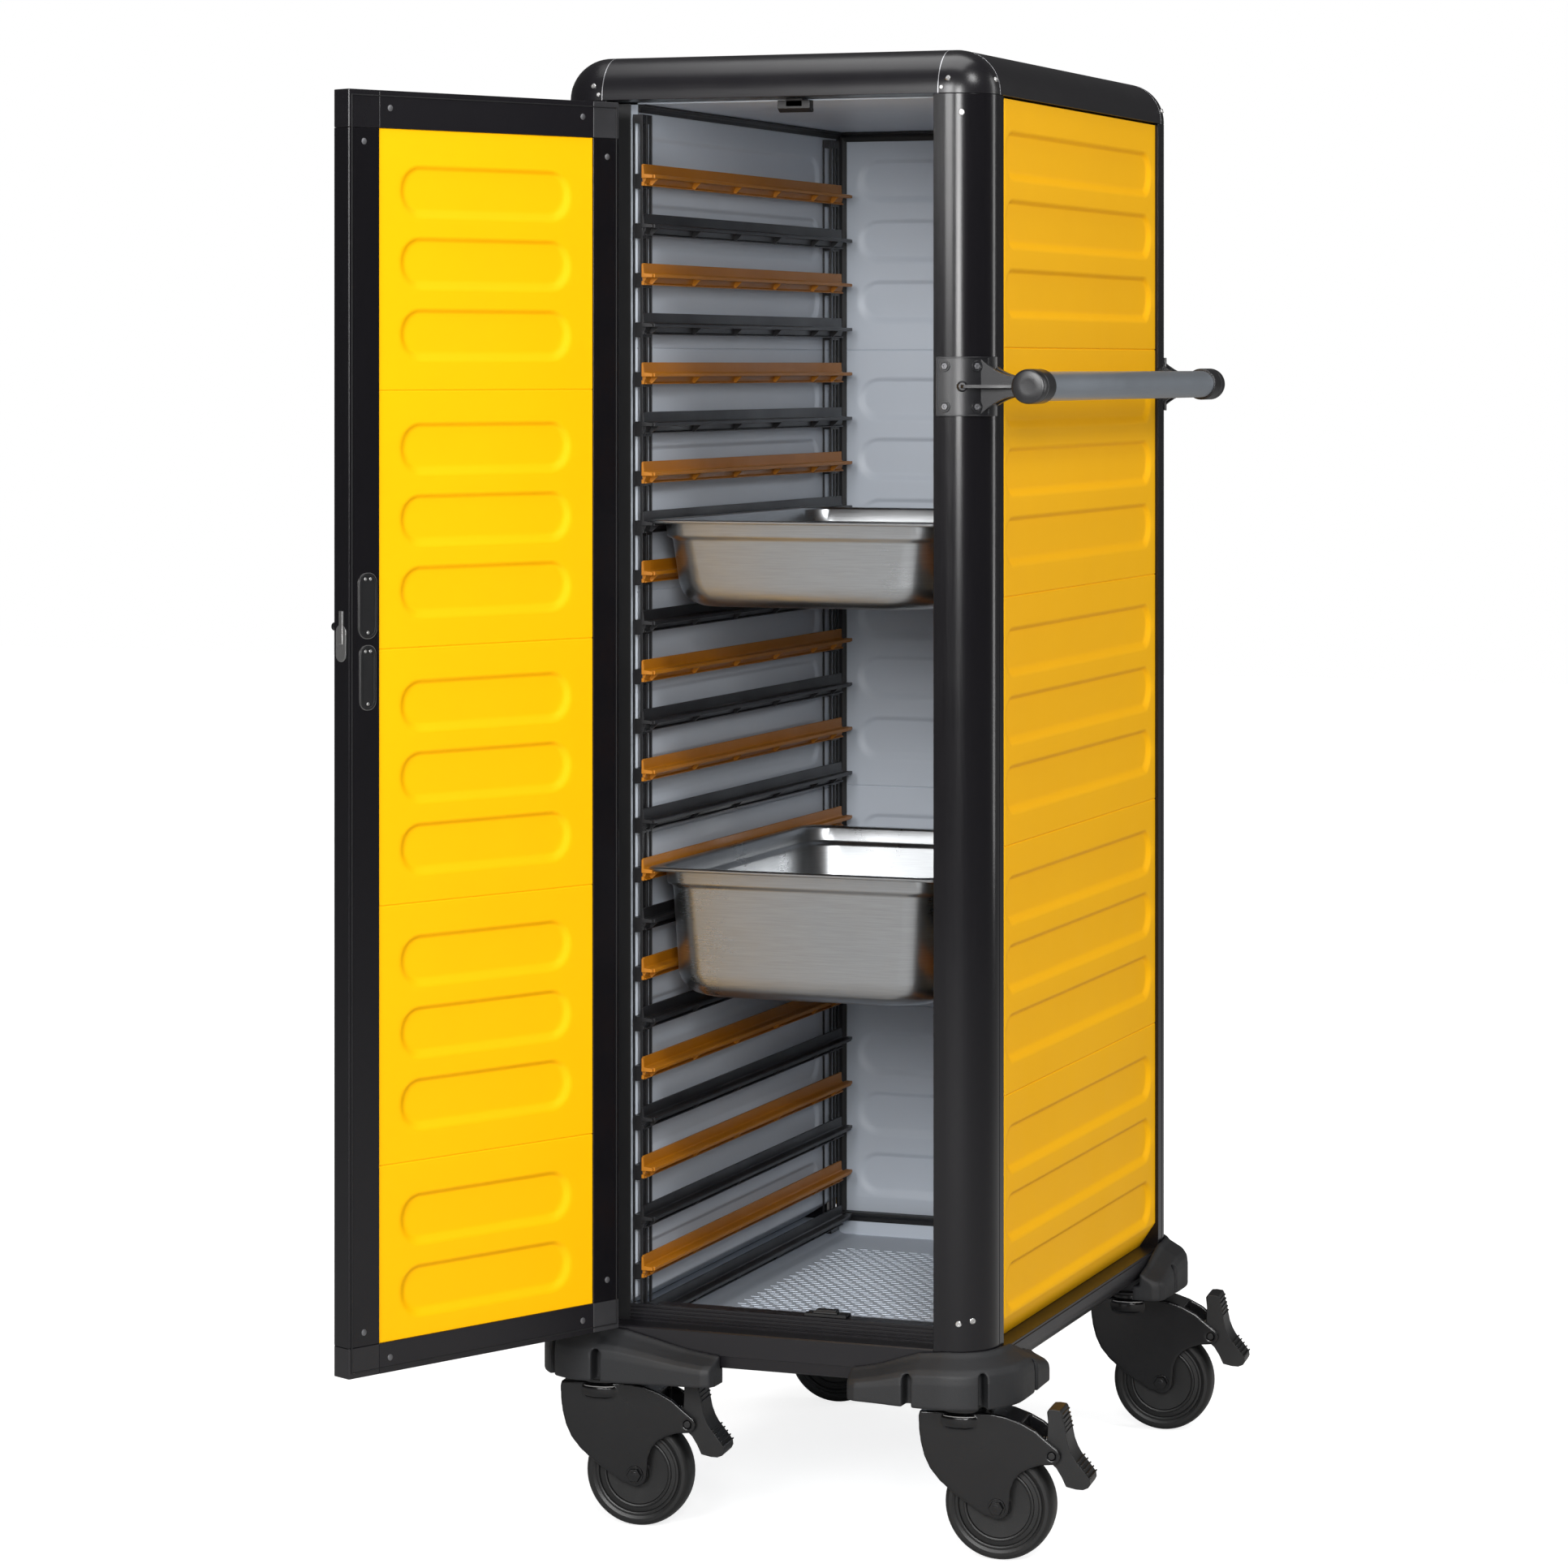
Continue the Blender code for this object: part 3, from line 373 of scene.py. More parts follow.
DRAWN_SIDEWAYS = {
    "X": {"Stretch": (0.015, 1.0, 1.0), "Line Scale": 1200.0},
    "Y": {"Stretch": (1.0, 0.015, 1.0), "Line Scale": 1200.0},
}
BLACK_RAIL = {
    across: surface(
        f"black_anodised_rail_{across.lower()}",
        (0.0055, 0.0050, 0.0065), (0.0085, 0.0078, 0.0098), roughness=0.28,
        skin=DRAWN_LINES, skin_values=DRAWN_SIDEWAYS[across], bump=0.05, marks=0.10,
        Specular_IOR_Level=0.42,
    )
    for across in ("X", "Y")
}
for sides, reach, half_span, across in (
    (SIDES, HALF_W, HALF_D, "Y"),
    ({"front": -1, "rear": 1}, HALF_D, HALF_W, "X"),
):
    length = half_span - CAST - GAP
    for side, sign in sides.items():
        bm = bmesh.new()
        push(bm, rail_outline(reach, sign), -length, length, across)
        name = f"top_rail_{side}"
        put(f"{name}_extrusion", bm, BLACK_RAIL[across], "cabinet", [name], edge=0.0005)

# Top castings: glossy black die-cast corners, rounded like a ball, that join two rails and a post.
# A bright strip set into each seam, a painted highlight on the seam edges, shows where each one meets the
# rails and the post.
CAST_BLACK = surface(
    "black_cast_corner", (0.0055, 0.0050, 0.0065), (0.0090, 0.0085, 0.0100), roughness=0.22,
    skin=MOULDED_SKIN, skin_values={"Pebble Scale": 1200.0, "Mottle Scale": 12.0}, bump=0.04, marks=0.12,
    Specular_IOR_Level=0.5,
)
# Light metal strips: at the castings' seams they are a painted highlight on the seam edges, and on the
# handle caps they are the light joint rings.
BARE_METAL_AND_PAINTED_HIGHLIGHT = surface(
    "bare_aluminium_and_painted_highlight_seam", (0.55, 0.55, 0.57), (0.40, 0.40, 0.42), roughness=0.35,
    skin=MOULDED_SKIN, skin_values={"Pebble Scale": 1500.0, "Mottle Scale": 120.0}, bump=0.1, marks=0.1,
    Metallic=0.9,
)
# The bright line at each seam is a painted highlight strip.
SEAM = 0.0012  # how deep the bright line goes


def casting_mesh(bm, sx, sy):
    """A block whose outer edges and corner are rounded to the nose's radius."""
    steps = 14
    low = Vector((HALF_W - CAST, HALF_D - CAST, RAIL_LOW))
    centre = Vector((HALF_W - NOSE, HALF_D - NOSE, TOP - NOSE))
    rows = []
    for i in range(steps + 1):
        lift = math.radians(90 * i / steps)
        ring = []
        for j in range(steps + 1):
            turn = math.radians(90 * j / steps)
            out = Vector((math.cos(lift) * math.cos(turn), math.cos(lift) * math.sin(turn), math.sin(lift)))
            ring.append(centre + out * NOSE)
        start, end = Vector((low.x, ring[-1].y, ring[-1].z)), Vector((ring[0].x, low.y, ring[0].z))
        rows.append([start] + ring[::-1] + [end])
    rows.insert(0, [Vector((p.x, p.y, low.z)) for p in rows[0]])
    grid = [[bm.verts.new((p.x * sx, p.y * sy, p.z)) for p in row] for row in rows]
    for a, b in zip(grid, grid[1:]):
        for i in range(len(a) - 1):
            bm.faces.new((a[i], a[i + 1], b[i + 1], b[i]))
    inner_top = bm.verts.new((low.x * sx, low.y * sy, TOP))
    inner_low = bm.verts.new((low.x * sx, low.y * sy, low.z))
    bm.faces.new(grid[-1] + [inner_top])
    bm.faces.new(grid[0] + [inner_low])
    bm.faces.new([row[0] for row in grid] + [inner_top, inner_low])
    bm.faces.new([row[-1] for row in grid] + [inner_top, inner_low])
    bmesh.ops.remove_doubles(bm, verts=bm.verts, dist=1e-6)
    bmesh.ops.dissolve_degenerate(bm, edges=bm.edges, dist=1e-6)


for corner, (sx, sy) in CORNERS.items():
    name = f"top_cap_{corner}"
    bm = bmesh.new()
    casting_mesh(bm, sx, sy)
    put(f"{name}_casting", bm, CAST_BLACK, "cabinet", [name], edge=0.0004, soft=50)
# Painted highlight: bright strips set into the seams between the castings, the rails and the posts stand in
# for the edge highlights there.
bm = bmesh.new()
for sx, sy in CORNERS.values():
    for reach, across in ((HALF_D, "X"), (HALF_W, "Y")):
        outer = rail_outline(reach + 0.0001, 1)[1:-1]
        middle_u, middle_v = reach - NOSE, TOP - NOSE
        inner = []
        for u, v in outer:
            inner.append((u - SEAM * (u - middle_u) / NOSE, v - SEAM * max(v - middle_v, 0) / NOSE))
        strip = mirrored(outer + inner[::-1], sy if across == "X" else sx, 1)
        edge_at = (HALF_W if across == "X" else HALF_D) - CAST
        sign = sx if across == "X" else sy
        push(bm, strip, *sorted((sign * (edge_at - 0.0006), sign * (edge_at + 0.0003))), across)
put("casting_seam_painted_highlights", bm, BARE_METAL_AND_PAINTED_HIGHLIGHT, "cabinet")
bm = bmesh.new()
for sx, sy in CORNERS.values():
    screw(bm, (sx * (HALF_W - 0.044), sy * (HALF_D - 0.0016), 1.6490), (0, sy, 0.3), 0.0030)
    screw(bm, (sx * (HALF_W - 0.051), sy * HALF_D, 1.6390), (0, sy, 0), 0.0024)
    screw(bm, (sx * (HALF_W - 0.0016), sy * (HALF_D - 0.044), 1.6490), (sx, 0, 0.3), 0.0030)
put("casting_screws", bm, BRIGHT_STEEL, "cabinet")

# Bottom rails and sill: black extrusions with a rounded lower edge. The front one is a stepped sill with
# drip grooves in its riser, and a fold line low on its face.
PANEL_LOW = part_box("side_panel_left")[0].z
SILL_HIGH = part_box("front_sill")[1].z
TREAD = 0.2385
DRIP_GROOVES = (0.2540, 0.2495, 0.2450, 0.2412)
RAIL_HALF = HALF_W - POST_FRONT - GAP


def bottom_outline(reach, sign):
    """A bottom rail's section, rounded below, with a fine lip under the board."""
    radius = 0.020
    points = [(reach - LEG, PANEL_LOW - GAP), (reach - LEG, POST_LOW)]
    points += arc((reach - radius, POST_LOW + radius), radius, -90, 0, 12)
    points += [(reach, PANEL_LOW - 0.0033), (reach - 0.001, PANEL_LOW - 0.0028)]
    return mirrored(points + [(reach - 0.001, PANEL_LOW - GAP)], sign, 1)


for side, sign in SIDES.items():
    bm = bmesh.new()
    length = HALF_D - POST_SIDE - GAP
    push(bm, bottom_outline(HALF_W, sign), -length, length, "Y")
    name = f"bottom_rail_{side}"
    put(f"{name}_extrusion", bm, BLACK_RAIL["Y"], "cabinet", [name], edge=0.0004)
bm = bmesh.new()
push(bm, bottom_outline(HALF_D, 1), -RAIL_HALF, RAIL_HALF, "X")
name = "bottom_rail_rear"
put(f"{name}_extrusion", bm, BLACK_RAIL["X"], "cabinet", [name], edge=0.0004)
bm = bmesh.new()
front = -HALF_D
tread = [(front + LEG, POST_LOW), (front + LEG, TREAD), (front + 0.0015, TREAD), (front, TREAD - 0.0015)]
tread += [(front, POST_LOW + 0.014), (front + 0.0006, POST_LOW + 0.0135)]
tread += [(front + 0.0020, POST_LOW + 0.0020), (front + 0.0040, POST_LOW)]
push(bm, tread, -RAIL_HALF, RAIL_HALF, "X")
RISER = front + LEG - 0.0005
riser = [(front + 0.037, POST_LOW), (front + 0.037, SILL_HIGH), (RISER, SILL_HIGH)]
for z in DRIP_GROOVES:
    riser += [(RISER, z + 0.0009), (RISER + 0.0013, z + 0.0005)]
    riser += [(RISER + 0.0013, z - 0.0005), (RISER, z - 0.0009)]
WALLS = {-1: MIDDLE.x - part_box("side_panel_left")[1].x, 1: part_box("side_panel_right")[0].x - MIDDLE.x}
step = (-WALLS[-1] + 0.030, WALLS[1] - 0.030)
push(bm, riser + [(RISER, POST_LOW)], -WALLS[-1] + GAP, RAIL_HALF, "X")
block(bm, (step[0], front + 0.0365, POST_LOW), (step[1], front + 0.053, SILL_HIGH - 0.0002))
for y in (0.041, 0.046):
    block(bm, (step[0], front + y, SILL_HIGH - GAP), (step[1], front + y + 0.0015, SILL_HIGH))
put("sill_extrusion", bm, BLACK_RAIL["X"], "cabinet", ["front_sill"], edge=0.0003)

# Insulated boards: yellow moulded modules stacked between the posts, each with three long sunk pockets
# that stiffen it. A fine joint shows between one module and the next.
YELLOW = surface(
    "yellow_moulded_board", (0.95, 0.49, 0.0), (0.88, 0.43, 0.0), roughness=0.50,
    skin=MOULDED_SKIN, skin_values={"Pebble Scale": 700.0, "Mottle Scale": 2.5}, bump=0.10, marks=0.12,
    Specular_IOR_Level=0.12,
)
MODULE = 0.280
POCKET_DROPS = (0.0377, 0.1148, 0.1929)  # from a module's top edge to a pocket's top
POCKET = 0.049
POCKET_DEPTH = 0.0050
BOARD = 0.020


def fine_lines(start, end, zones, coarse):
    """Grid lines from start to end, closer inside the zones of (low, high, step)."""
    count = max(2, round((end - start) / coarse))
    lines = {round(start + (end - start) * i / count, 5) for i in range(count + 1)}
    for low, high, step in zones:
        count = max(1, round((high - low) / step))
        lines |= {round(low + (high - low) * i / count, 5) for i in range(count + 1)}
    lines = sorted(x for x in lines if start <= x <= end)
    kept = [lines[0]]
    for x in lines[1:]:
        if x - kept[-1] > 0.0003:
            kept.append(x)
    kept[-1] = end
    return kept


def sunk(u, v, pockets, seams, depth):
    """How far the board's face lies behind its plane at (u, v)."""
    found = 0.0
    for cu, cv, half_u, half_v in pockets:
        if abs(v - cv) > half_v + 0.012:
            continue
        out = math.hypot(max(abs(u - cu) - (half_u - half_v), 0.0), v - cv) - half_v
        share = min(1.0, max(0.0, (v - cv) / half_v * 0.5 + 0.5))
        width = 0.012 - 0.006 * share
        t = min(1.0, max(0.0, 0.5 - out / width))
        found = max(found, depth * t * t * (3 - 2 * t))
    for seam in seams:
        found = max(found, 0.0011 * max(0.0, 1 - abs(v - seam) / 0.0009))
    return found


def board(bm, span, pockets, seams, depth, place, thick, coarse=0.05):
    """A moulded board over a span of (u0, u1, v0, v1). place(u, v, w) gives a point w out of its face."""
    u0, u1, v0, v1 = span
    ends = sorted({round(cu + s * (hu - hv), 5) for cu, _, hu, hv in pockets for s in (-1, 1)})
    reach = max(hv for *_, hv in pockets) + 0.007
    across = []
    for i, end in enumerate(ends):
        before, after = (0.004, reach) if i % 2 else (reach, 0.004)
        across.append((end - before, end + after, 0.0030))
    us = fine_lines(u0, u1, across, coarse)
    up = [(cv + s * hv - 0.0075, cv + s * hv + 0.0075, 0.0015) for _, cv, _, hv in pockets for s in (-1, 1)]
    up += [(cv - hv, cv + hv, 0.0035) for _, cv, _, hv in pockets]
    up += [(seam - 0.0018, seam + 0.0018, 0.0006) for seam in seams]
    vs = fine_lines(v0, v1, up, coarse)
    grid = []
    for v in vs:
        near = [p for p in pockets if abs(v - p[1]) < p[3] + 0.013]
        lines = [s for s in seams if abs(v - s) < 0.002]
        grid.append([bm.verts.new(place(u, v, -sunk(u, v, near, lines, depth))) for u in us])
    for a, b in zip(grid, grid[1:]):
        for i in range(len(us) - 1):
            bm.faces.new((a[i], a[i + 1], b[i + 1], b[i]))
    rim = grid[0] + [row[-1] for row in grid[1:]] + grid[-1][-2::-1] + [row[0] for row in grid[-2:0:-1]]
    places = [(u, v0) for u in us] + [(u1, v) for v in vs[1:]] + [(u, v1) for u in us[-2::-1]]
    places += [(u0, v) for v in vs[-2:0:-1]]
    back = [bm.verts.new(place(u, v, -thick)) for u, v in places]
    for i in range(len(rim)):
        j = (i + 1) % len(rim)
        bm.faces.new((rim[i], rim[j], back[j], back[i]))
    bm.faces.new(back)


def module_pockets(low, high, top, first, last):
    """The pockets of every module from the top down: (middle u, middle v, half length, half height)."""
    found = []
    level = top
    while level > low + 0.06:
        for drop in POCKET_DROPS:
            middle = level - drop - POCKET / 2
            if middle - POCKET / 2 > low + 0.008 and middle + POCKET / 2 < high:
                found.append(((first + last) / 2, middle, (last - first) / 2, POCKET / 2))
        level -= MODULE
    return found


PANEL_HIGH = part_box("side_panel_left")[1].z
SEAMS = [PANEL_HIGH - MODULE * i for i in range(1, 5)]
half = HALF_D - POST_SIDE - GAP
outer_x = HALF_W - 0.004
pockets = module_pockets(PANEL_LOW, PANEL_HIGH, PANEL_HIGH, -half + 0.022, half - 0.022)
for side, sign in SIDES.items():
    bm = bmesh.new()
    span = (-half, half, PANEL_LOW + GAP, PANEL_HIGH)
    board(bm, span, pockets, SEAMS, POCKET_DEPTH, lambda u, v, w: (sign * (outer_x + w), u, v), BOARD)
    name = f"side_panel_{side}"
    put(f"{name}_modules", bm, YELLOW, "cabinet", [name], soft=60)
bm = bmesh.new()
back_y = HALF_D - 0.004
back_pockets = module_pockets(PANEL_LOW, PANEL_HIGH, PANEL_HIGH, -RAIL_HALF + 0.030, RAIL_HALF - 0.030)
span = (-RAIL_HALF, RAIL_HALF, PANEL_LOW + GAP, PANEL_HIGH)
board(bm, span, back_pockets, SEAMS, POCKET_DEPTH, lambda u, v, w: (u, back_y + w, v), BOARD)
put("back_panel_modules", bm, YELLOW, "cabinet", ["back_panel"], soft=60)

# Liner: the cabinet's pale grey inside, moulded with the same pockets as the boards outside.
# It closes on the foam, and black corner strips cover its joints at the floor, ceiling and back.
LINER_GREY = surface(
    "pale_grey_liner", (0.58, 0.63, 0.70), (0.52, 0.57, 0.64), roughness=0.38,
    skin=MOULDED_SKIN, skin_values={"Pebble Scale": 800.0, "Mottle Scale": 4.0}, bump=0.10, marks=0.18,
    Specular_IOR_Level=0.45,
)
STRIP_BLACK = surface(
    "black_soft_strip", (0.0050, 0.0050, 0.0058), (0.0090, 0.0090, 0.0100), roughness=0.45,
    skin=MOULDED_SKIN, skin_values={"Pebble Scale": 900.0, "Mottle Scale": 20.0}, bump=0.15, marks=0.15,
)
FLOOR = 0.213
CEILING = 1.6300
LINER_POCKET = 0.0030
back_wall = HALF_D - LEG
front_wall = HALF_D - LEG - GAP
inner_pockets = module_pockets(0.24, PANEL_HIGH, PANEL_HIGH, -0.322, 0.276)
rear_pockets = module_pockets(0.24, PANEL_HIGH, PANEL_HIGH, -WALLS[-1] + 0.030, WALLS[1] - 0.030)
liner_back = HALF_W - LEG - 0.0005
for side, sign in SIDES.items():
    bm = bmesh.new()
    span = (0.0022 - front_wall, back_wall - 0.0045, PANEL_LOW + GAP, CEILING)
    thick = liner_back - WALLS[sign]

    def on_wall(u, v, w):
        return sign * (WALLS[sign] - w), u, v

    board(bm, span, inner_pockets, SEAMS, LINER_POCKET, on_wall, thick)
    put(f"liner_{side}", bm, LINER_GREY, "cabinet", [f"side_panel_{side}"], soft=60)
bm = bmesh.new()
span = (-WALLS[-1], WALLS[1], PANEL_LOW + GAP, CEILING)
board(bm, span, rear_pockets, SEAMS, LINER_POCKET, lambda u, v, w: (u, back_wall - w, v), 0.008)
put("liner_back", bm, LINER_GREY, "cabinet", ["back_panel"], soft=60)
bm = bmesh.new()
ceiling_far = (WALLS[1] - GAP, back_wall - GAP, CEILING + 0.0022)
block(bm, (GAP - WALLS[-1], -0.330, CEILING + GAP), ceiling_far)
put("liner_ceiling", bm, LINER_GREY, "cabinet", edge=0.0004)
bm = bmesh.new()
roof_low, roof_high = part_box("roof_panel")
block(bm, roof_low, roof_high)
still = Matrix.Identity(4)
put("roof_sheet", bm, BLACK_RAIL["Y"], "cabinet", ["roof_panel"], still, 0.0008)

# Floor: a grey moulded tray with upturned sides, and rows of short raised dashes against slipping.
DASH = (0.0105, 0.0016)  # length and width
DASH_PITCH = (0.0165, 0.0110)
bm = bmesh.new()
tray_front = -HALF_D + 0.0533
tray = []
for sign in (1, -1):
    wall = WALLS[sign]
    edge = [(HALF_W - LEG - GAP, POST_LOW), (HALF_W - LEG - GAP, PANEL_LOW - GAP)]
    edge += [(wall, PANEL_LOW - GAP)] + arc((wall - 0.010, FLOOR + 0.010), 0.010, 0, -90, 8)
    tray += mirrored(edge, sign, 1)[::sign]
push(bm, tray, tray_front, HALF_D - LEG - GAP, "Y")
upstand_end = (WALLS[1] - 0.001, back_wall - GAP, PANEL_LOW)
block(bm, (0.001 - WALLS[-1], back_wall - 0.004, FLOOR - 0.001), upstand_end)
rows = int(0.56 / DASH_PITCH[1])
for row in range(rows):
    y = -0.285 + row * DASH_PITCH[1]
    shift = DASH_PITCH[0] / 2 * (row % 2)
    for column in range(-8, 11):
        x = column * DASH_PITCH[0] + shift - DASH_PITCH[0] / 4
        left, right, thin = x - DASH[0] / 2, x + DASH[0] / 2, DASH[1] / 2
        outline = [(left, y), (left + 0.002, y - thin), (right - 0.002, y - thin)]
        outline += [(right, y), (right - 0.002, y + thin), (left + 0.002, y + thin)]
        push(bm, outline, FLOOR - 0.0005, FLOOR + 0.0008)
put("floor_tray", bm, LINER_GREY, "cabinet", ["floor_panel"], soft=50)


def cove(bm, start, end, first, second, size=0.009):
    """A corner strip from start to end, its legs along the directions first and second."""
    start, end, first, second = Vector(start), Vector(end), Vector(first), Vector(second)
    section = [(0.0, 0.0), (size, 0.0), (size, size * 0.22), (size * 0.55, size * 0.30)]
    section += [(size * 0.30, size * 0.55), (size * 0.22, size), (0.0, size)]
    rings = [[bm.verts.new(p + first * a + second * b) for a, b in section] for p in (start, end)]
    join_rings(bm, rings)
    bm.faces.new(rings[0])
    bm.faces.new(rings[1])


bm = bmesh.new()
COVE = 0.2375  # top of the floor's corner strips
y = back_wall - 0.0001
for sign in (-1, 1):
    x = WALLS[sign] - 0.0001
    edge = sorted((sign * (WALLS[sign] - 0.0008), sign * liner_back))
    block(bm, (edge[0], -front_wall, PANEL_LOW + GAP), (edge[1], 0.0021 - front_wall, CEILING))
    cove(bm, (sign * x, -0.328, CEILING), (sign * x, y, CEILING), (-sign, 0, 0), (0, 0, -1))
    cove(bm, (sign * x, tray_front, COVE), (sign * x, y, COVE), (-sign, 0, 0), (0, 0, -1), 0.010)
    cove(bm, (sign * x, y, 0.228), (sign * x, y, CEILING), (-sign, 0, 0), (0, -1, 0), 0.011)
for level, size in ((CEILING, 0.012), (0.2430, 0.0135)):
    cove(bm, (-WALLS[-1], y, level), (WALLS[1], y, level), (0, -1, 0), (0, 0, -1), size)
put("liner_corner_strips", bm, STRIP_BLACK, "cabinet", edge=0.0006)

# Runner racks: on each wall, two slotted black uprights carry 24 moulded runners, orange and black in turn.
# A runner is a ledge with an upstand behind it and a web below, stiffened by small gussets and clipped on.
ORANGE = surface(
    "orange_runner_plastic", (0.46, 0.165, 0.0), (0.34, 0.115, 0.0), roughness=0.40,
    skin=MOULDED_SKIN, skin_values={"Pebble Scale": 900.0, "Mottle Scale": 14.0}, bump=0.12, marks=0.2,
)
RUNNER_BLACK = surface(
    "black_runner_plastic", (0.0070, 0.0070, 0.0080), (0.0120, 0.0120, 0.0135), roughness=0.32,
    skin=MOULDED_SKIN, skin_values={"Pebble Scale": 900.0, "Mottle Scale": 30.0}, bump=0.12, marks=0.22,
)
LEVELS = 24
TOP_LEVEL = 1.549
PITCH = 0.0568
RUNNER = (-0.345, 0.322)
GUSSETS = (-0.329, -0.196, -0.061, 0.074, 0.209, 0.281)
UPRIGHTS = ((-0.345, -0.315), (0.290, 0.320))


def runner(bm, sign, z):
    """One runner. Distances out from the wall and up from its ledge make its section."""

    def section(points):
        return [(sign * (WALLS[sign] - out), z + up) for out, up in points]

    ledge = [(0.0120, 0.0120), (0.0148, 0.0120), (0.0152, 0.0012), (0.0165, -0.0002), (0.0272, -0.0002)]
    ledge += [(0.0280, -0.0010), (0.0280, -0.0042), (0.0268, -0.0046), (0.0190, -0.0030), (0.0168, -0.0045)]
    ledge += [(0.0150, -0.0105), (0.0175, -0.0118), (0.0172, -0.0130), (0.0125, -0.0130)]
    push(bm, section(ledge), RUNNER[0], RUNNER[1], "Y")
    for y in GUSSETS:
        web = [(0.0150, -0.0030), (0.0262, -0.0042), (0.0180, -0.0122), (0.0145, -0.0124)]
        push(bm, section(web), y - 0.0012, y + 0.0012, "Y")
    tip = [(0.0165, -0.0004), (0.0250, -0.0004), (0.0250, -0.0042), (0.0165, -0.0042)]
    push(bm, section(tip), RUNNER[1] - 0.001, 0.3345, "Y")
    nose = [(0.0130, 0.0112), (0.0150, 0.0112), (0.0160, 0.0006)]
    nose += [(0.0262, -0.0006), (0.0262, -0.0042), (0.0130, -0.0042)]
    push(bm, section(nose), -0.3495, RUNNER[0] + 0.001, "Y")
    clip = [(0.0128, -0.0085), (0.0160, -0.0085), (0.0160, -0.0130), (0.0128, -0.0130)]
    push(bm, section(clip), -0.3490, -0.3400, "Y")


RACK_LOW, RACK_HIGH = (corner.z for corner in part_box("runner_rack_left"))
for side, sign in SIDES.items():
    rack = [f"runner_rack_{side}"]
    for colour, first, material in (("orange", 0, ORANGE), ("black", 1, RUNNER_BLACK)):
        bm = bmesh.new()
        for level in range(first, LEVELS, 2):
            runner(bm, sign, TOP_LEVEL - PITCH * level)
        put(f"runners_{colour}_{side}", bm, material, "cabinet", rack, edge=0.0003)
    bm = bmesh.new()
    for y0, y1 in UPRIGHTS:
        bars = ((0.0005, 0.0028, y0, y0 + 0.0022), (0.0095, 0.0125, y0, y0 + 0.0026))
        bars += ((0.0095, 0.0125, y0 + 0.0130, y0 + 0.0170), (0.0095, 0.0125, y1 - 0.0030, y1))
        bars += ((0.0005, 0.0028, y1 - 0.0022, y1),)
        for near, far, low, high in bars:
            xs = sorted(sign * (WALLS[sign] - out) for out in (near, far))
            block(bm, (xs[0], low, RACK_LOW), (xs[1], high, RACK_HIGH))
        xs = sorted(sign * (WALLS[sign] - out) for out in (0.0007, 0.0122))
        for level in range(LEVELS):
            z = TOP_LEVEL - PITCH * level
            block(bm, (xs[0], y0 + 0.0003, z - 0.0160), (xs[1], y1 - 0.0003, z + 0.0010))
        block(bm, (xs[0], y0 + 0.0003, RACK_LOW), (xs[1], y1 - 0.0003, RACK_LOW + 0.006))
        block(bm, (xs[0], y0 + 0.0003, RACK_HIGH - 0.010), (xs[1], y1 - 0.0003, RACK_HIGH))
    put(f"uprights_{side}", bm, RUNNER_BLACK, "cabinet", rack, edge=0.0003)

# Catches: black plastic keepers screwed under the header and on the sill, for the door's bolts.
CATCH_BLACK = surface(
    "black_catch_plastic", (0.0060, 0.0060, 0.0068), (0.0110, 0.0110, 0.0120), roughness=0.33,
    skin=MOULDED_SKIN, skin_values={"Pebble Scale": 1000.0, "Mottle Scale": 40.0}, bump=0.15, marks=0.2,
)


def rod(bm, radius, low, high, centre, axis, steps):
    """A round bar between two distances along its axis."""
    turned(bm, [(0, low), (radius, low), (radius, high), (0, high)], centre, axis, steps)


bm = bmesh.new()
catch_back = -HALF_D + 0.050
block(bm, (0.010, -0.352, 1.6225), (0.030, catch_back, RAIL_LOW - GAP))
hook = [(-0.352, 1.6300), (-0.352, 1.6205), (-0.345, 1.6165), (-0.340, 1.6175), (-0.340, 1.6300)]
push(bm, hook, 0.0, 0.039, "X")
rod(bm, 0.0025, -0.020, 0.020, (0.0195, -0.3425, 1.6190), (1, 0, 0), 12)
put("header_catch_keeper", bm, CATCH_BLACK, "cabinet", ["header_catch"], edge=0.0006)
bm = bmesh.new()
block(bm, (0.032, -0.351, SILL_HIGH + GAP), (0.082, catch_back, 0.2610))
push(bm, [(-0.351, 0.2600), (-0.348, 0.2655), (-0.338, 0.2655), (-0.335, 0.2600)], 0.045, 0.069, "X")
rod(bm, 0.0018, -0.014, 0.014, (0.057, -0.3500, 0.2625), (1, 0, 0), 12)
put("sill_catch_keeper", bm, CATCH_BLACK, "cabinet", ["sill_catch"], edge=0.0005)

# Pans: pressed stainless-steel food pans, one 100 mm and one 150 mm deep. Each has a flat rim with a
# turned-down edge, a stacking shoulder and wide corners, and hangs by its rim on two runners.
PAN_STEEL = surface(
    "brushed_stainless_steel", (0.42, 0.43, 0.44), (0.30, 0.31, 0.32), roughness=0.24,
    skin=DRAWN_LINES, skin_values={"Stretch": (0.03, 0.03, 1.0), "Line Scale": 900.0},
    bump=0.12, marks=0.22, Metallic=1.0, Anisotropic=0.35,
)
PAN_HALF_W = 0.17925
PAN_HALF_L = 0.265


def rounded(half_u, half_v, radius, steps=10, centre=(0, 0)):
    """A rectangle with round corners."""
    points = []
    for quarter, (su, sv) in enumerate(((1, 1), (-1, 1), (-1, -1), (1, -1))):
        middle = (centre[0] + su * (half_u - radius), centre[1] + sv * (half_v - radius))
        points += arc(middle, radius, 90 * quarter, 90 * quarter + 90, steps)
    return points


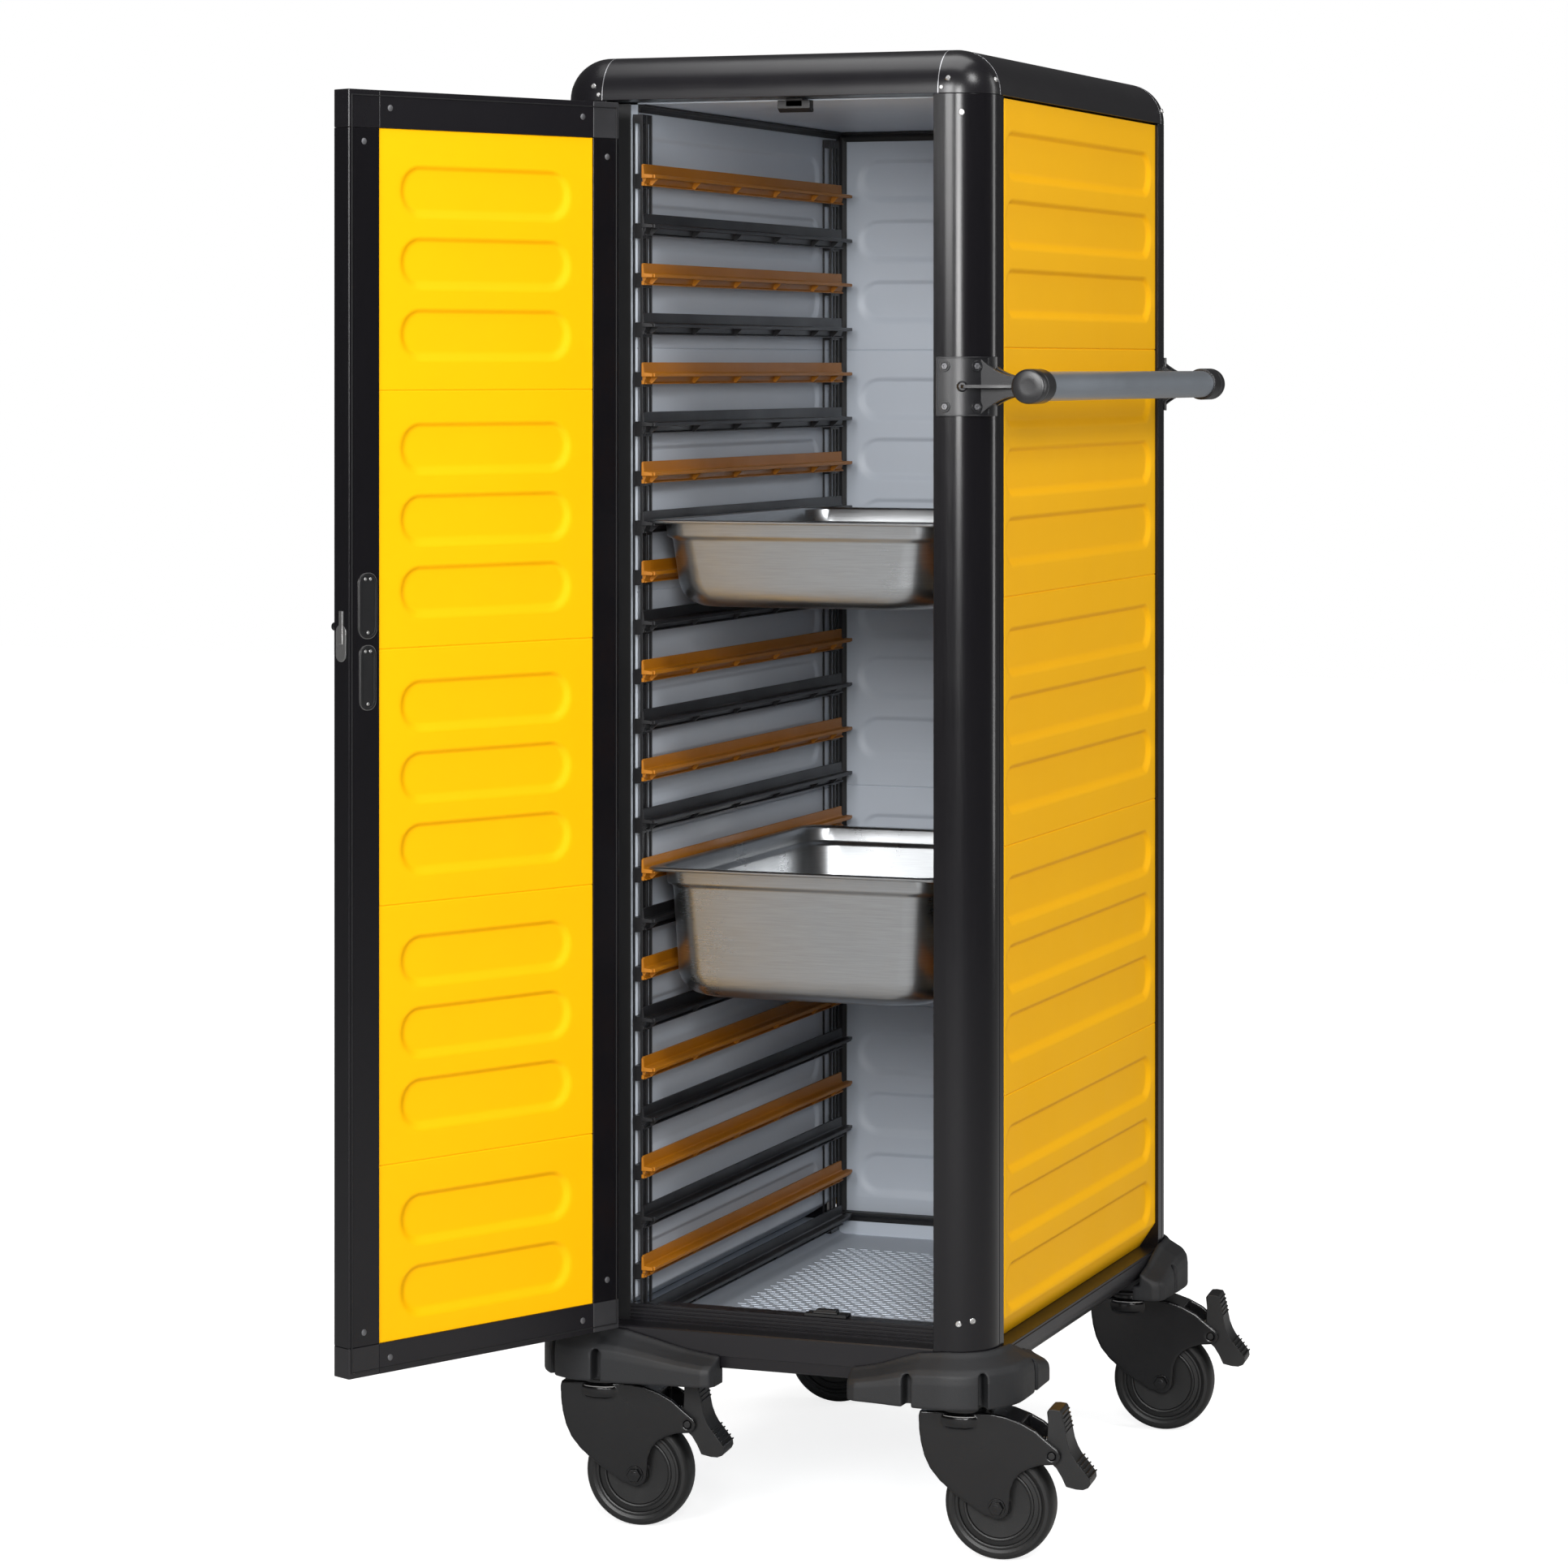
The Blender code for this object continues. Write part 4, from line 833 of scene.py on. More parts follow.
def pan_profile(depth):
    """Rings from the turned-down edge to the base: distance in from the rim, corner radius, height."""
    rings = [(0.0000, 0.018, -0.0034), (0.0000, 0.018, -0.0008), (0.0010, 0.018, 0.0), (0.0085, 0.028, 0.0)]
    rings += [(0.0105, 0.030, -0.0006), (0.0118, 0.031, -0.0025), (0.0122, 0.032, -0.0165)]
    rings += [(0.0130, 0.033, -0.0190), (0.0158, 0.036, -0.0212), (0.0166, 0.037, -0.0240)]
    rings += [(0.0205, 0.042, -depth + 0.0290), (0.0225, 0.044, -depth + 0.0190)]
    rings += [(0.0262, 0.046, -depth + 0.0110), (0.0320, 0.048, -depth + 0.0048)]
    rings += [(0.0400, 0.048, -depth + 0.0012), (0.0480, 0.046, -depth + 0.0006)]
    return rings + [(0.0600, 0.044, -depth + 0.0012), (0.0740, 0.040, -depth + 0.0026)]


for name in ("pan_shallow", "pan_deep"):
    low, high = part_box(name)
    depth = high.z - low.z - 0.001
    bm = bmesh.new()
    loops = []
    for inset, radius, z in pan_profile(depth):
        outline = rounded(PAN_HALF_W - inset, PAN_HALF_L - inset, radius)
        loops.append([bm.verts.new((u, v, z)) for u, v in outline])
    join_rings(bm, loops)
    bm.faces.new(loops[-1])
    centre = Matrix.Translation(((low.x + high.x) / 2, (low.y + high.y) / 2, high.z - 0.0005))
    pan = put(f"{name}_pressing", bm, PAN_STEEL, name, [name], centre, soft=40)
    sheet = pan.modifiers.new("sheet", "SOLIDIFY")
    sheet.thickness = 0.0009
    sheet.offset = 0.0

# Push handle: a satin aluminium tube in two black end caps, each with a light joint ring.
# The caps are cast with curved brackets that are screwed round the right-hand posts.
SATIN_TUBE = surface(
    "satin_aluminium_tube", (0.42, 0.46, 0.51), (0.36, 0.40, 0.45), roughness=0.34,
    skin=DRAWN_LINES, skin_values={"Stretch": (1.0, 0.012, 1.0), "Line Scale": 1500.0},
    bump=0.08, marks=0.15, Metallic=0.85,
)
BRACKET_BLACK = surface(
    "black_cast_bracket", (0.0075, 0.0075, 0.0085), (0.013, 0.013, 0.015), roughness=0.24,
    skin=MOULDED_SKIN, skin_values={"Pebble Scale": 700.0, "Mottle Scale": 25.0}, bump=0.14, marks=0.2,
)
RIVET_GREY = surface(
    "dull_grey_rivet", (0.22, 0.22, 0.23), (0.14, 0.14, 0.15), roughness=0.42,
    skin=MOULDED_SKIN, skin_values={"Pebble Scale": 1500.0, "Mottle Scale": 200.0}, bump=0.2, marks=0.2,
    Metallic=0.8,
)
bar_low, bar_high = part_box("handle_bar")
BAR = ((bar_low + bar_high) / 2) - Vector((MIDDLE.x, MIDDLE.y, 0))
BAR_HALF = (bar_high.y - bar_low.y) / 2
CAP_R = (bar_high.z - bar_low.z) / 2
TUBE_R = 0.0165
CAP_START = BAR_HALF - 0.046
bar_at = (BAR.x, 0, BAR.z)
tube = [(TUBE_R, -CAP_START - 0.002), (TUBE_R, 0), (TUBE_R, CAP_START + 0.002)]
bm = bmesh.new()
turned(bm, tube, bar_at, (0, 1, 0), 64)
put("handle_tube", bm, SATIN_TUBE, "cabinet", ["handle_bar"])
bm = bmesh.new()
for sy in (-1, 1):
    cap = [(TUBE_R + 0.0002, CAP_START), (CAP_R - 0.0008, CAP_START), (CAP_R, CAP_START + 0.0008)]
    cap += [(CAP_R, BAR_HALF - 0.0180), (CAP_R - 0.0007, BAR_HALF - 0.0176)]
    cap += [(CAP_R - 0.0007, BAR_HALF - 0.0164), (CAP_R, BAR_HALF - 0.0160)]
    cap += [(CAP_R, BAR_HALF - 0.0030), (CAP_R - 0.0009, BAR_HALF - 0.0009)]
    cap += [(CAP_R - 0.0030, BAR_HALF), (0.0080, BAR_HALF - 0.0004), (0, BAR_HALF - 0.0004)]
    cap = [(0, CAP_START + 0.004), (TUBE_R - 0.001, CAP_START + 0.004), (TUBE_R - 0.001, CAP_START)] + cap
    turned(bm, cap, bar_at, (0, sy, 0), 48)
put("handle_caps", bm, BRACKET_BLACK, "cabinet", ["handle_bar"], edge=0.0003)
bm = bmesh.new()
for sy in (-1, 1):
    ring = [(CAP_R - 0.0010, BAR_HALF - 0.0176), (CAP_R - 0.0003, BAR_HALF - 0.0176)]
    ring += [(CAP_R - 0.0003, BAR_HALF - 0.0166), (CAP_R - 0.0010, BAR_HALF - 0.0166)]
    ring_of(bm, ring, bar_at, (0, sy, 0), 48)
put("handle_cap_rings", bm, BARE_METAL_AND_PAINTED_HIGHLIGHT, "cabinet")

PLATE_HALF = 0.0330
BOSS_TURNS = (88, 47)  # degrees round the nose
BOSS_UP = (-0.0225, 0.0225)


def on_plate(turn, up, sy):
    """A point on the bracket's plate round the post's nose, and its outward direction."""
    a = math.radians(turn)
    out = Vector((math.cos(a), sy * math.sin(a), 0))
    at = Vector((HALF_W - NOSE, sy * (HALF_D - NOSE), 0)) + out * (NOSE + 0.0030)
    at.z = BAR.z + up
    return at, out


for side, sy in {"front": -1, "rear": 1}.items():
    bm = bmesh.new()
    centre = (HALF_W - NOSE, HALF_D - NOSE)
    edge = HALF_W - NOSE - 0.0083

    def saddle(inner, outer, first, lip, low, high):
        points = arc(centre, NOSE + inner, first, 90, 18) + [(lip, HALF_D + inner), (lip, HALF_D + outer)]
        points += arc(centre, NOSE + outer, 90, first, 18)
        push(bm, mirrored(points, 1, sy), BAR.z + low, BAR.z + high)

    saddle(0.0004, 0.0034, 12, edge, -PLATE_HALF, PLATE_HALF)
    for low, high in ((-PLATE_HALF, -PLATE_HALF + 0.0016), (PLATE_HALF - 0.0016, PLATE_HALF)):
        saddle(0.0030, 0.0046, 30, edge, low, high)
    points = [(edge, HALF_D + 0.003), (edge + 0.0016, HALF_D + 0.003), (edge + 0.0016, HALF_D + 0.0046)]
    push(bm, mirrored(points + [(edge, HALF_D + 0.0046)], 1, sy), BAR.z - PLATE_HALF, BAR.z + PLATE_HALF)
    rim = arc(centre, NOSE + 0.003, 28, 31, 2) + arc(centre, NOSE + 0.0046, 31, 28, 2)
    push(bm, mirrored(rim, 1, sy), BAR.z - PLATE_HALF, BAR.z + PLATE_HALF)
    for turn in BOSS_TURNS:
        for up in BOSS_UP:
            at, out = on_plate(turn, up, sy)
            boss = [(0.0042, -0.001), (0.0064, -0.001), (0.0064, 0.0016), (0.0042, 0.0016)]
            ring_of(bm, boss, at, out, 24)
    at, out = on_plate(66, 0, sy)
    button = [(0, 0.0030), (0.0042, 0.0030), (0.0058, 0.0015), (0.0066, -0.001), (0, -0.001)]
    turned(bm, button, at, out, 24)
    rib = [(0.2290, HALF_D + 0.0025), (0.2330, HALF_D + 0.0055), (0.2620, HALF_D + 0.0035)]
    rib += [(0.2880, HALF_D - 0.0080), (0.2880, HALF_D - 0.0200), (0.2500, HALF_D - 0.0120)]
    rib += [(0.2400, HALF_D - 0.0060)]
    push(bm, mirrored(rib, 1, sy), BAR.z - 0.0020, BAR.z + 0.0020)
    reach = BAR.x - CAP_R + 0.0030
    web = []
    for i in range(9):
        share = i / 8
        x = HALF_W - 0.010 + (reach - HALF_W + 0.010) * share
        web.append((x, 0.0110 + 0.0200 * (1 - share) ** 2))
    outline = [(x, BAR.z - up) for x, up in web] + [(x, BAR.z + up) for x, up in reversed(web)]
    push(bm, outline, *sorted((sy * (HALF_D - 0.044), sy * (HALF_D - 0.036))), "Y")
    push(bm, outline, *sorted((sy * (HALF_D - 0.020), sy * (HALF_D - 0.014))), "Y")
    inner = [(x, BAR.z - up * 0.45) for x, up in web] + [(x, BAR.z + up * 0.45) for x, up in reversed(web)]
    push(bm, inner, *sorted((sy * (HALF_D - 0.040), sy * (HALF_D - 0.016))), "Y")
    put(f"handle_bracket_{side}_casting", bm, BRACKET_BLACK, "cabinet",
        [f"handle_bracket_{side}"], edge=0.0005)
bm = bmesh.new()
for sy in (-1, 1):
    for turn in BOSS_TURNS:
        for up in BOSS_UP:
            at, out = on_plate(turn, up, sy)
            head = [(0, 0.0008), (0.0014, 0.0008), (0.0017, 0.0022)]
            head += [(0.0034, 0.0022), (0.0039, 0.0016), (0.0039, -0.001)]
            turned(bm, head, at, out, 6)
put("handle_bracket_screws", bm, RIVET_GREY, "cabinet", edge=0.0002)

# Door: an insulated leaf hung open on two pin hinges. Four black extrusions meet in cast corner pieces
# round a stack of yellow moulded modules, and a rubber gasket runs round its inner face.
hinge_at = Vector(joints["door_swing"]["pos_m"])
OPEN = math.radians(joints["door_swing"]["range_deg"][1])
DOOR = Matrix.Translation((hinge_at.x, hinge_at.y, 0)) @ Matrix.Rotation(-OPEN, 4, "Z")
DOOR_X = (0.004, 0.391)  # hinge edge and free edge, measured from the hinge pin
DOOR_Y = (0.006, 0.0325)  # outer face and inner face
DOOR_Z = (0.240, 1.628)
STILE = 0.038
FREE_STILE = 0.042
CORNER_TALL = 0.041
BOTTOM_TALL = 0.033
window = (DOOR_X[0] + STILE, DOOR_X[1] - FREE_STILE, DOOR_Z[0] + BOTTOM_TALL, DOOR_Z[1] - CORNER_TALL)
door_ends = ((DOOR_Z[0], window[2]), (window[3], DOOR_Z[1]))


def stile_outline(left, right, free=False):
    """A stile in plan. Its free edge has a fine step at each corner."""
    points = [(left, DOOR_Y[0]), (right, DOOR_Y[0]), (right, DOOR_Y[1]), (left, DOOR_Y[1])]
    if free:
        step = 0.0012
        points = [(left, DOOR_Y[0]), (right - step, DOOR_Y[0]), (right, DOOR_Y[0] + step)]
        points += [(right, DOOR_Y[1] - step), (right - step, DOOR_Y[1]), (left, DOOR_Y[1])]
    return points


bm = bmesh.new()
hairline = 0.00025
push(bm, stile_outline(DOOR_X[0], window[0]), window[2] + hairline, window[3] - hairline)
push(bm, stile_outline(window[1], DOOR_X[1], True), window[2] + hairline, window[3] - hairline)
put("door_stiles", bm, BLACK_FRAME, "door", ["door_frame"], DOOR, 0.0006)
bm = bmesh.new()
for low, high in door_ends:
    block(bm, (window[0] + hairline, DOOR_Y[0], low), (window[1] - hairline, DOOR_Y[1], high))
put("door_rails", bm, BLACK_RAIL["X"], "door", ["door_frame"], DOOR, 0.0006)
CORNER_GREY = surface(
    "dark_grey_corner_casting", (0.017, 0.017, 0.019), (0.032, 0.032, 0.035), roughness=0.34,
    skin=MOULDED_SKIN, skin_values={"Pebble Scale": 700.0, "Mottle Scale": 26.0}, bump=0.18, marks=0.25,
    Specular_IOR_Level=0.6,
)
bm = bmesh.new()
for low, high in door_ends:
    block(bm, (DOOR_X[0], DOOR_Y[0], low), (window[0], DOOR_Y[1], high))
put("door_hinge_corners", bm, CORNER_GREY, "door", ["door_frame"], DOOR, 0.0010)
bm = bmesh.new()
for low, high in door_ends:
    push(bm, stile_outline(window[1], DOOR_X[1], True), low, high)
put("door_free_corners", bm, CAST_BLACK, "door", ["door_frame"], DOOR, 0.0008)

DOOR_RIVETS = (
    (0.330, 1.609), (0.054, 1.610), (0.366, 1.572), (0.0175, 1.566),
    (0.366, 0.288), (0.0175, 0.297), (0.330, 0.256), (0.054, 0.256),
)  # distance from the hinge edge, and height
bm = bmesh.new()
door_seams = [1.303, 1.023, 0.745, 0.464]
tops = [window[3]] + door_seams
door_pockets = []
for top, count in zip(tops, (3, 3, 3, 3, 2)):
    for i in range(count):
        middle = top - 0.0460 - POCKET / 2 - 0.0780 * i + (0.004 if top == tops[0] else 0.008)
        door_pockets.append((DOOR_X[0] + 0.1925, middle, 0.1185, 0.0250))
span = (window[0] + 0.0002, window[1] - 0.0002, window[2] + 0.0002, window[3] - 0.0002)
board(bm, span, door_pockets, door_seams, 0.0042, lambda u, v, w: (u, DOOR_Y[1] - 0.0020 + w, v), 0.011)
put("door_modules_inside", bm, YELLOW, "door", ["door_panel"], DOOR, soft=60)
bm = bmesh.new()
board(bm, span, door_pockets, door_seams, 0.0042, lambda u, v, w: (u, DOOR_Y[0] + 0.0020 - w, v), 0.010)
put("door_modules_outside", bm, YELLOW, "door", ["door_panel"], DOOR, soft=60)

bm = bmesh.new()
head = [(0, 0.0010), (0.0020, 0.0009), (0.0034, 0.0003), (0.0038, -0.0004), (0.0038, -0.001)]
for s, z in DOOR_RIVETS:
    for y, out in ((DOOR_Y[1], 1), (DOOR_Y[0], -1)):
        turned(bm, head, (DOOR_X[0] + s, y, z), (0, out, 0), 20)
put("door_rivets", bm, RIVET_GREY, "door", at=DOOR)

# Gasket: a soft black rubber bead pressed into a groove near the edge of the door's inner face.
bead = 0.0012
left, right, low, high = DOOR_X[0] + 0.0035, DOOR_X[1] - 0.0035, DOOR_Z[0] + 0.0055, DOOR_Z[1] - 0.0055
seal_outer = [(left, low), (right, low), (right, high), (left, high)]
seal_inner = [(left + bead, low + bead), (right - bead, low + bead)]
seal_inner += [(right - bead, high - bead), (left + bead, high - bead)]
bm = bmesh.new()
push(bm, seal_outer, DOOR_Y[1] - 0.0010, DOOR_Y[1] + 0.0010, "Y", [seal_inner])
put("door_gasket", bm, STRIP_BLACK, "door", ["door_seal"], DOOR, 0.0003)

# Hinges: black knuckles on a steel pin, two leaves each. The lower knuckle is fixed to the post, and
# the barrel above it turns with the door.
KNUCKLE_R = 0.0055
PIN_R = 0.0028
BORE_R = 0.0031
for place in ("upper", "lower"):
    name = f"door_hinge_{place}"
    low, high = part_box(name)
    start = low.z
    tall = (high.z - start + 0.002) / 2
    at = Matrix.Translation((hinge_at.x, hinge_at.y, 0))
    bm = bmesh.new()
    knuckle = [(0, start), (0.0048, start), (KNUCKLE_R, start + 0.0007)]
    turned(bm, knuckle + [(KNUCKLE_R, start + tall), (0, start + tall)], (0, 0, 0), (0, 0, 1), 32)
    block(bm, (-0.013, -0.001, start), (0, 0.0057, start + tall))
    rod(bm, PIN_R, start + tall - 0.001, high.z, (0, 0, 0), (0, 0, 1), 24)
    put(f"{name}_knuckle", bm, BLACK_FRAME, "cabinet", [name], at, 0.0003)
    bm = bmesh.new()
    leaf_low, leaf_high = start + tall + GAP, start + 2 * tall
    cap_low = leaf_high - 0.0012
    barrel = [(BORE_R, leaf_low), (KNUCKLE_R, leaf_low), (KNUCKLE_R, cap_low), (BORE_R, cap_low)]
    ring_of(bm, barrel, (0, 0, 0), (0, 0, 1), 32)
    cap = [(0, cap_low), (KNUCKLE_R, cap_low), (KNUCKLE_R, leaf_high - 0.0008)]
    turned(bm, cap + [(0.0048, leaf_high), (0, leaf_high)], (0, 0, 0), (0, 0, 1), 32)
    block(bm, (0.0010, -0.001, leaf_low), (DOOR_X[0] + 0.022, DOOR_Y[0] - GAP, leaf_high))
    fixing_end = (DOOR_X[0] + 0.021, DOOR_Y[0] + 0.0005, leaf_high - 0.0005)
    block(bm, (DOOR_X[0] + 0.002, -0.0005, leaf_low + 0.0005), fixing_end)
    put(f"door_leaf_{place}", bm, BLACK_FRAME, "door", ["door_frame"], DOOR, 0.0003)

# Latch: a thumb lever on the outer face draws a steel bolt out of the free edge. Inside, two oblong
# covers with bright wire edges close the latch and the lock.
LATCH_X = 0.3685
LATCH_Z = 1.048
COVERS = {"latch_cover_plate": (1.0710, 0.0350, 0.0120), "lock_cover_plate": (0.9935, 0.0345, 0.0105)}
for name, (z, half_v, half_u) in COVERS.items():
    face = DOOR_Y[1]
    centre = (LATCH_X - 0.0030, z)
    bm = bmesh.new()
    outer = rounded(half_u, half_v, half_u * 0.92, 10, centre)
    inner = rounded(half_u - 0.0030, half_v - 0.0030, (half_u - 0.0030) * 0.9, 10, centre)
    push(bm, outer, face + 0.0001, face + 0.0019, "Y", [inner])
    push(bm, inner, face + 0.0001, face + 0.0009, "Y")
    put(f"{name}_moulding", bm, CATCH_BLACK, "door", [name], DOOR, 0.0004)
    bm = bmesh.new()
    wire_out = rounded(half_u + 0.0007, half_v + 0.0007, half_u * 0.95, 12, centre)
    wire_in = rounded(half_u + 0.0001, half_v + 0.0001, half_u * 0.92, 12, centre)
    push(bm, wire_out, face + 0.0001, face + 0.0010, "Y", [wire_in])
    put(f"{name}_edge", bm, BRIGHT_STEEL, "door", at=DOOR)
    bm = bmesh.new()
    for up, side in ((half_v - 0.0060, 0.0035), (half_v - 0.0060, -0.0035), (0.0060 - half_v, 0.0)):
        screw(bm, (centre[0] + side, face + 0.0009, z + up), (0, 1, 0), 0.0020, 0.0009)
    put(f"{name}_screws", bm, BRIGHT_STEEL, "door", at=DOOR)
bm = bmesh.new()
face_plate = rounded(0.0085, 0.0200, 0.0080, 8, (0.0195, 1.0310))
push(bm, face_plate, DOOR_X[1] + 0.00005, DOOR_X[1] + 0.0009, "X")
put("latch_face_plate", bm, BRIGHT_STEEL, "door", at=DOOR, edge=0.0002)
bolt_low, bolt_high = 1.030, 1.066
bm = bmesh.new()
block(bm, (DOOR_X[1] - 0.019, 0.0165, bolt_low), (DOOR_X[1] + 0.0014, 0.0225, bolt_high))
put("latch_bolt_bar", bm, BRIGHT_STEEL, "latch_bolt", ["latch_bolt"], DOOR, 0.0005)
bm = bmesh.new()
hub = [(0, 0.0004), (0.0088, 0.0004), (0.0090, 0.0030), (0.0075, 0.0042), (0, 0.0044)]
turned(bm, hub, (LATCH_X, DOOR_Y[0], LATCH_Z), (0, -1, 0), 32)
grip = rounded(0.0300, 0.0045, 0.0042, 6, (LATCH_X - 0.012, LATCH_Z))
push(bm, grip, DOOR_Y[0] - 0.0100, DOOR_Y[0] - 0.0035, "Y")
for i in range(5):
    x = LATCH_X - 0.036 + i * 0.004
    block(bm, (x, DOOR_Y[0] - 0.0106, LATCH_Z - 0.0036), (x + 0.0014, DOOR_Y[0] - 0.0098, LATCH_Z + 0.0036))
put("latch_thumb_lever", bm, CATCH_BLACK, "latch_handle", ["latch_handle"], DOOR, 0.0008)

# Corner bumpers: thick dark grey rubber mouldings round the foot of each post. They slope down to their
# tips, and slots with arched tops let the arms give when they hit a wall.
RUBBER = surface(
    "dark_grey_bumper_rubber", (0.0105, 0.011, 0.0125), (0.018, 0.0185, 0.020), roughness=0.50,
    skin=MOULDED_SKIN, skin_values={"Pebble Scale": 600.0, "Mottle Scale": 9.0}, bump=0.25, marks=0.2,
    Specular_IOR_Level=0.4,
)
BUMPER_LOW = 0.1778
LONG_ARM = 0.200
SHORT_ARM = 0.156
SLOPE = (0.060, 0.055)  # where each arm starts to slope down
BUMPER_LAYERS = (
    (0.0285, 0.1778), (0.0300, 0.1795), (0.0300, 0.2060), (0.0288, 0.2150),
    (0.0245, 0.2215), (0.0160, 0.2270), (0.0085, 0.2320), (0.0045, 0.2372),
)  # distance out from the cabinet, and height


def loose(bm):
    """A shape as an object that rides on nothing, for the modifiers to work on."""
    bmesh.ops.recalc_face_normals(bm, faces=bm.faces)
    mesh = bpy.data.meshes.new("rough")
    bm.to_mesh(mesh)
    bm.free()
    made = bpy.data.objects.new("rough", mesh)
    bpy.context.scene.collection.objects.link(made)
    return made


def moulded(bm, cuts, grain, rounds, share):
    """Cuts the slots out of a rough shape and melts it into one soft-edged moulding."""
    rough = loose(bm)
    tools = [loose(tool) for tool in cuts]
    for tool in tools:
        cut = rough.modifiers.new("cut", "BOOLEAN")
        cut.object = tool
        cut.operation = "DIFFERENCE"
        cut.solver = "EXACT"
        cut.use_self = True
    melt = rough.modifiers.new("melt", "REMESH")
    melt.mode = "VOXEL"
    melt.voxel_size = grain
    ease = rough.modifiers.new("ease", "SMOOTH")
    ease.factor = 0.5
    ease.iterations = rounds
    thin = rough.modifiers.new("thin", "DECIMATE")
    thin.ratio = share
    bpy.context.view_layer.update()
    graph = bpy.context.evaluated_depsgraph_get()
    mesh = bpy.data.meshes.new_from_object(rough.evaluated_get(graph))
    for used in [rough, *tools]:
        bpy.data.objects.remove(used)
    made = bmesh.new()
    made.from_mesh(mesh)
    bpy.data.meshes.remove(mesh)
    return made


def bumper_ring(arm, out):
    """The bumper's plan at one height, on the corner at (+, +), with that arm along X."""
    out_x, out_y, radius = HALF_W + out, HALF_D + out, NOSE + out
    end_y, end_x = HALF_D - SHORT_ARM, HALF_W - arm
    tip = min(0.012, out * 0.45)
    points = [(HALF_W - 0.008, end_y), (out_x - tip, end_y)]
    points += [(out_x - tip * 0.3, end_y + tip * 0.3), (out_x, end_y + tip)]
    for share in (0.25, 0.5, 0.75):
        points.append((out_x, end_y + tip + (HALF_D - NOSE - end_y - tip) * share))
    points += arc((HALF_W - NOSE, HALF_D - NOSE), radius, 0, 90, 20)
    for share in (0.75, 0.5, 0.25):
        points.append((end_x + tip + (HALF_W - NOSE - end_x - tip) * share, out_y))
    points += [(end_x + tip, out_y), (end_x + tip * 0.3, out_y - tip * 0.3), (end_x, out_y - tip)]
    points += [(end_x, HALF_D - 0.008), (HALF_W - 0.085, HALF_D - 0.008)]
    return points + [(HALF_W - 0.085, HALF_D - 0.095), (HALF_W - 0.008, HALF_D - 0.095)]


def fall(x, y, arm):
    """How much of the full height is left at a point, from 1 by the post to a half at the tips."""
    along_y = (HALF_D - SLOPE[0] - y) / (SHORT_ARM - SLOPE[0])
    along = max(along_y, (HALF_W - SLOPE[1] - x) / (arm - SLOPE[1]), 0.0)
    along = min(along, 1.0)
    return 1 - 0.46 * along * along * (3 - 2 * along)


def arched(half_w, low, high):
    """A slot with a round top, as (across, z)."""
    return [(-half_w, low), (half_w, low)] + arc((0, high - half_w), half_w, 0, 180, 8)


for corner, (sx, sy) in CORNERS.items():
    arm = LONG_ARM if sx == sy else SHORT_ARM
    bm = bmesh.new()
    rings = []
    for out, z in BUMPER_LAYERS:
        ring = []
        for x, y in bumper_ring(arm, out):
            rise = fall(x, y, arm)
            height = BUMPER_LOW + (z - BUMPER_LOW) * rise + (1 - rise) * 0.006
            ring.append(bm.verts.new((x * sx, y * sy, height)))
        rings.append(ring)
    join_rings(bm, rings)
    bm.faces.new(rings[0])
    bm.faces.new(rings[-1])
    bmesh.ops.triangulate(bm, faces=[f for f in bm.faces if len(f.verts) > 4])
    room = [(HALF_W + 0.0006, -0.1), (HALF_W + 0.0006, HALF_D - NOSE)]
    room += arc((HALF_W - NOSE, HALF_D - NOSE), NOSE + 0.0006, 0, 90, 24)[1:]
    room += [(-0.1, HALF_D + 0.0006), (-0.1, -0.1)]
    cabinet_room = bmesh.new()
    push(cabinet_room, mirrored(room, sx, sy), POST_LOW - 0.0006, 0.3)
    cuts = [cabinet_room]
    x_slot = HALF_W - (0.059 if sx == sy else 0.0825)
    slant = math.radians(50)
    round_nose = (HALF_W - NOSE + 0.078 * math.cos(slant), HALF_D - NOSE + 0.078 * math.sin(slant))
    slots = (((x_slot, HALF_D + 0.030), 90, 0.2150), (round_nose, 50, 0.2180))
    for at, turn, slot_top in slots + (((HALF_W + 0.030, HALF_D - 0.094), 0, 0.2150),):
        tool = bmesh.new()
        push(tool, arched(0.0052, 0.165, slot_top), -0.0200, 0.0100, "Y")
        turned_to = Matrix.Translation((at[0], at[1], 0)) @ Matrix.Rotation(math.radians(turn - 90), 4, "Z")
        tool.transform(Matrix.Diagonal((sx, sy, 1, 1)) @ turned_to)
        cuts.append(tool)
    made = moulded(bm, cuts, 0.0014, 5, 0.35)
    name = f"bumper_{corner}"
    put(f"{name}_moulding", made, RUBBER, "cabinet", [name], soft=60)

# Casters: 125 mm swivel casters with total-lock brakes. A glossy black fork turns under its ball race and
# holds a wheel with a moulded hub on a hexagon bolt; a ribbed rocker pedal is pinned behind it.
FORK_BLACK = surface(
    "gloss_black_fork", (0.0028, 0.0028, 0.0032), (0.0052, 0.0052, 0.0060), roughness=0.18,
    skin=MOULDED_SKIN, skin_values={"Pebble Scale": 700.0, "Mottle Scale": 30.0}, bump=0.04, marks=0.15,
    Specular_IOR_Level=0.5,
)
TYRE_BLACK = surface(
    "black_rubber_tyre", (0.0036, 0.0036, 0.0038), (0.0075, 0.0075, 0.0075), roughness=0.34,
    skin=MOULDED_SKIN, skin_values={"Pebble Scale": 450.0, "Mottle Scale": 35.0}, bump=0.22, marks=0.3,
)
PEDAL_BLACK = surface(
    "black_pedal_plastic", (0.0036, 0.0036, 0.0040), (0.0075, 0.0075, 0.0080), roughness=0.30,
    skin=MOULDED_SKIN, skin_values={"Pebble Scale": 700.0, "Mottle Scale": 40.0}, bump=0.2, marks=0.3,
)
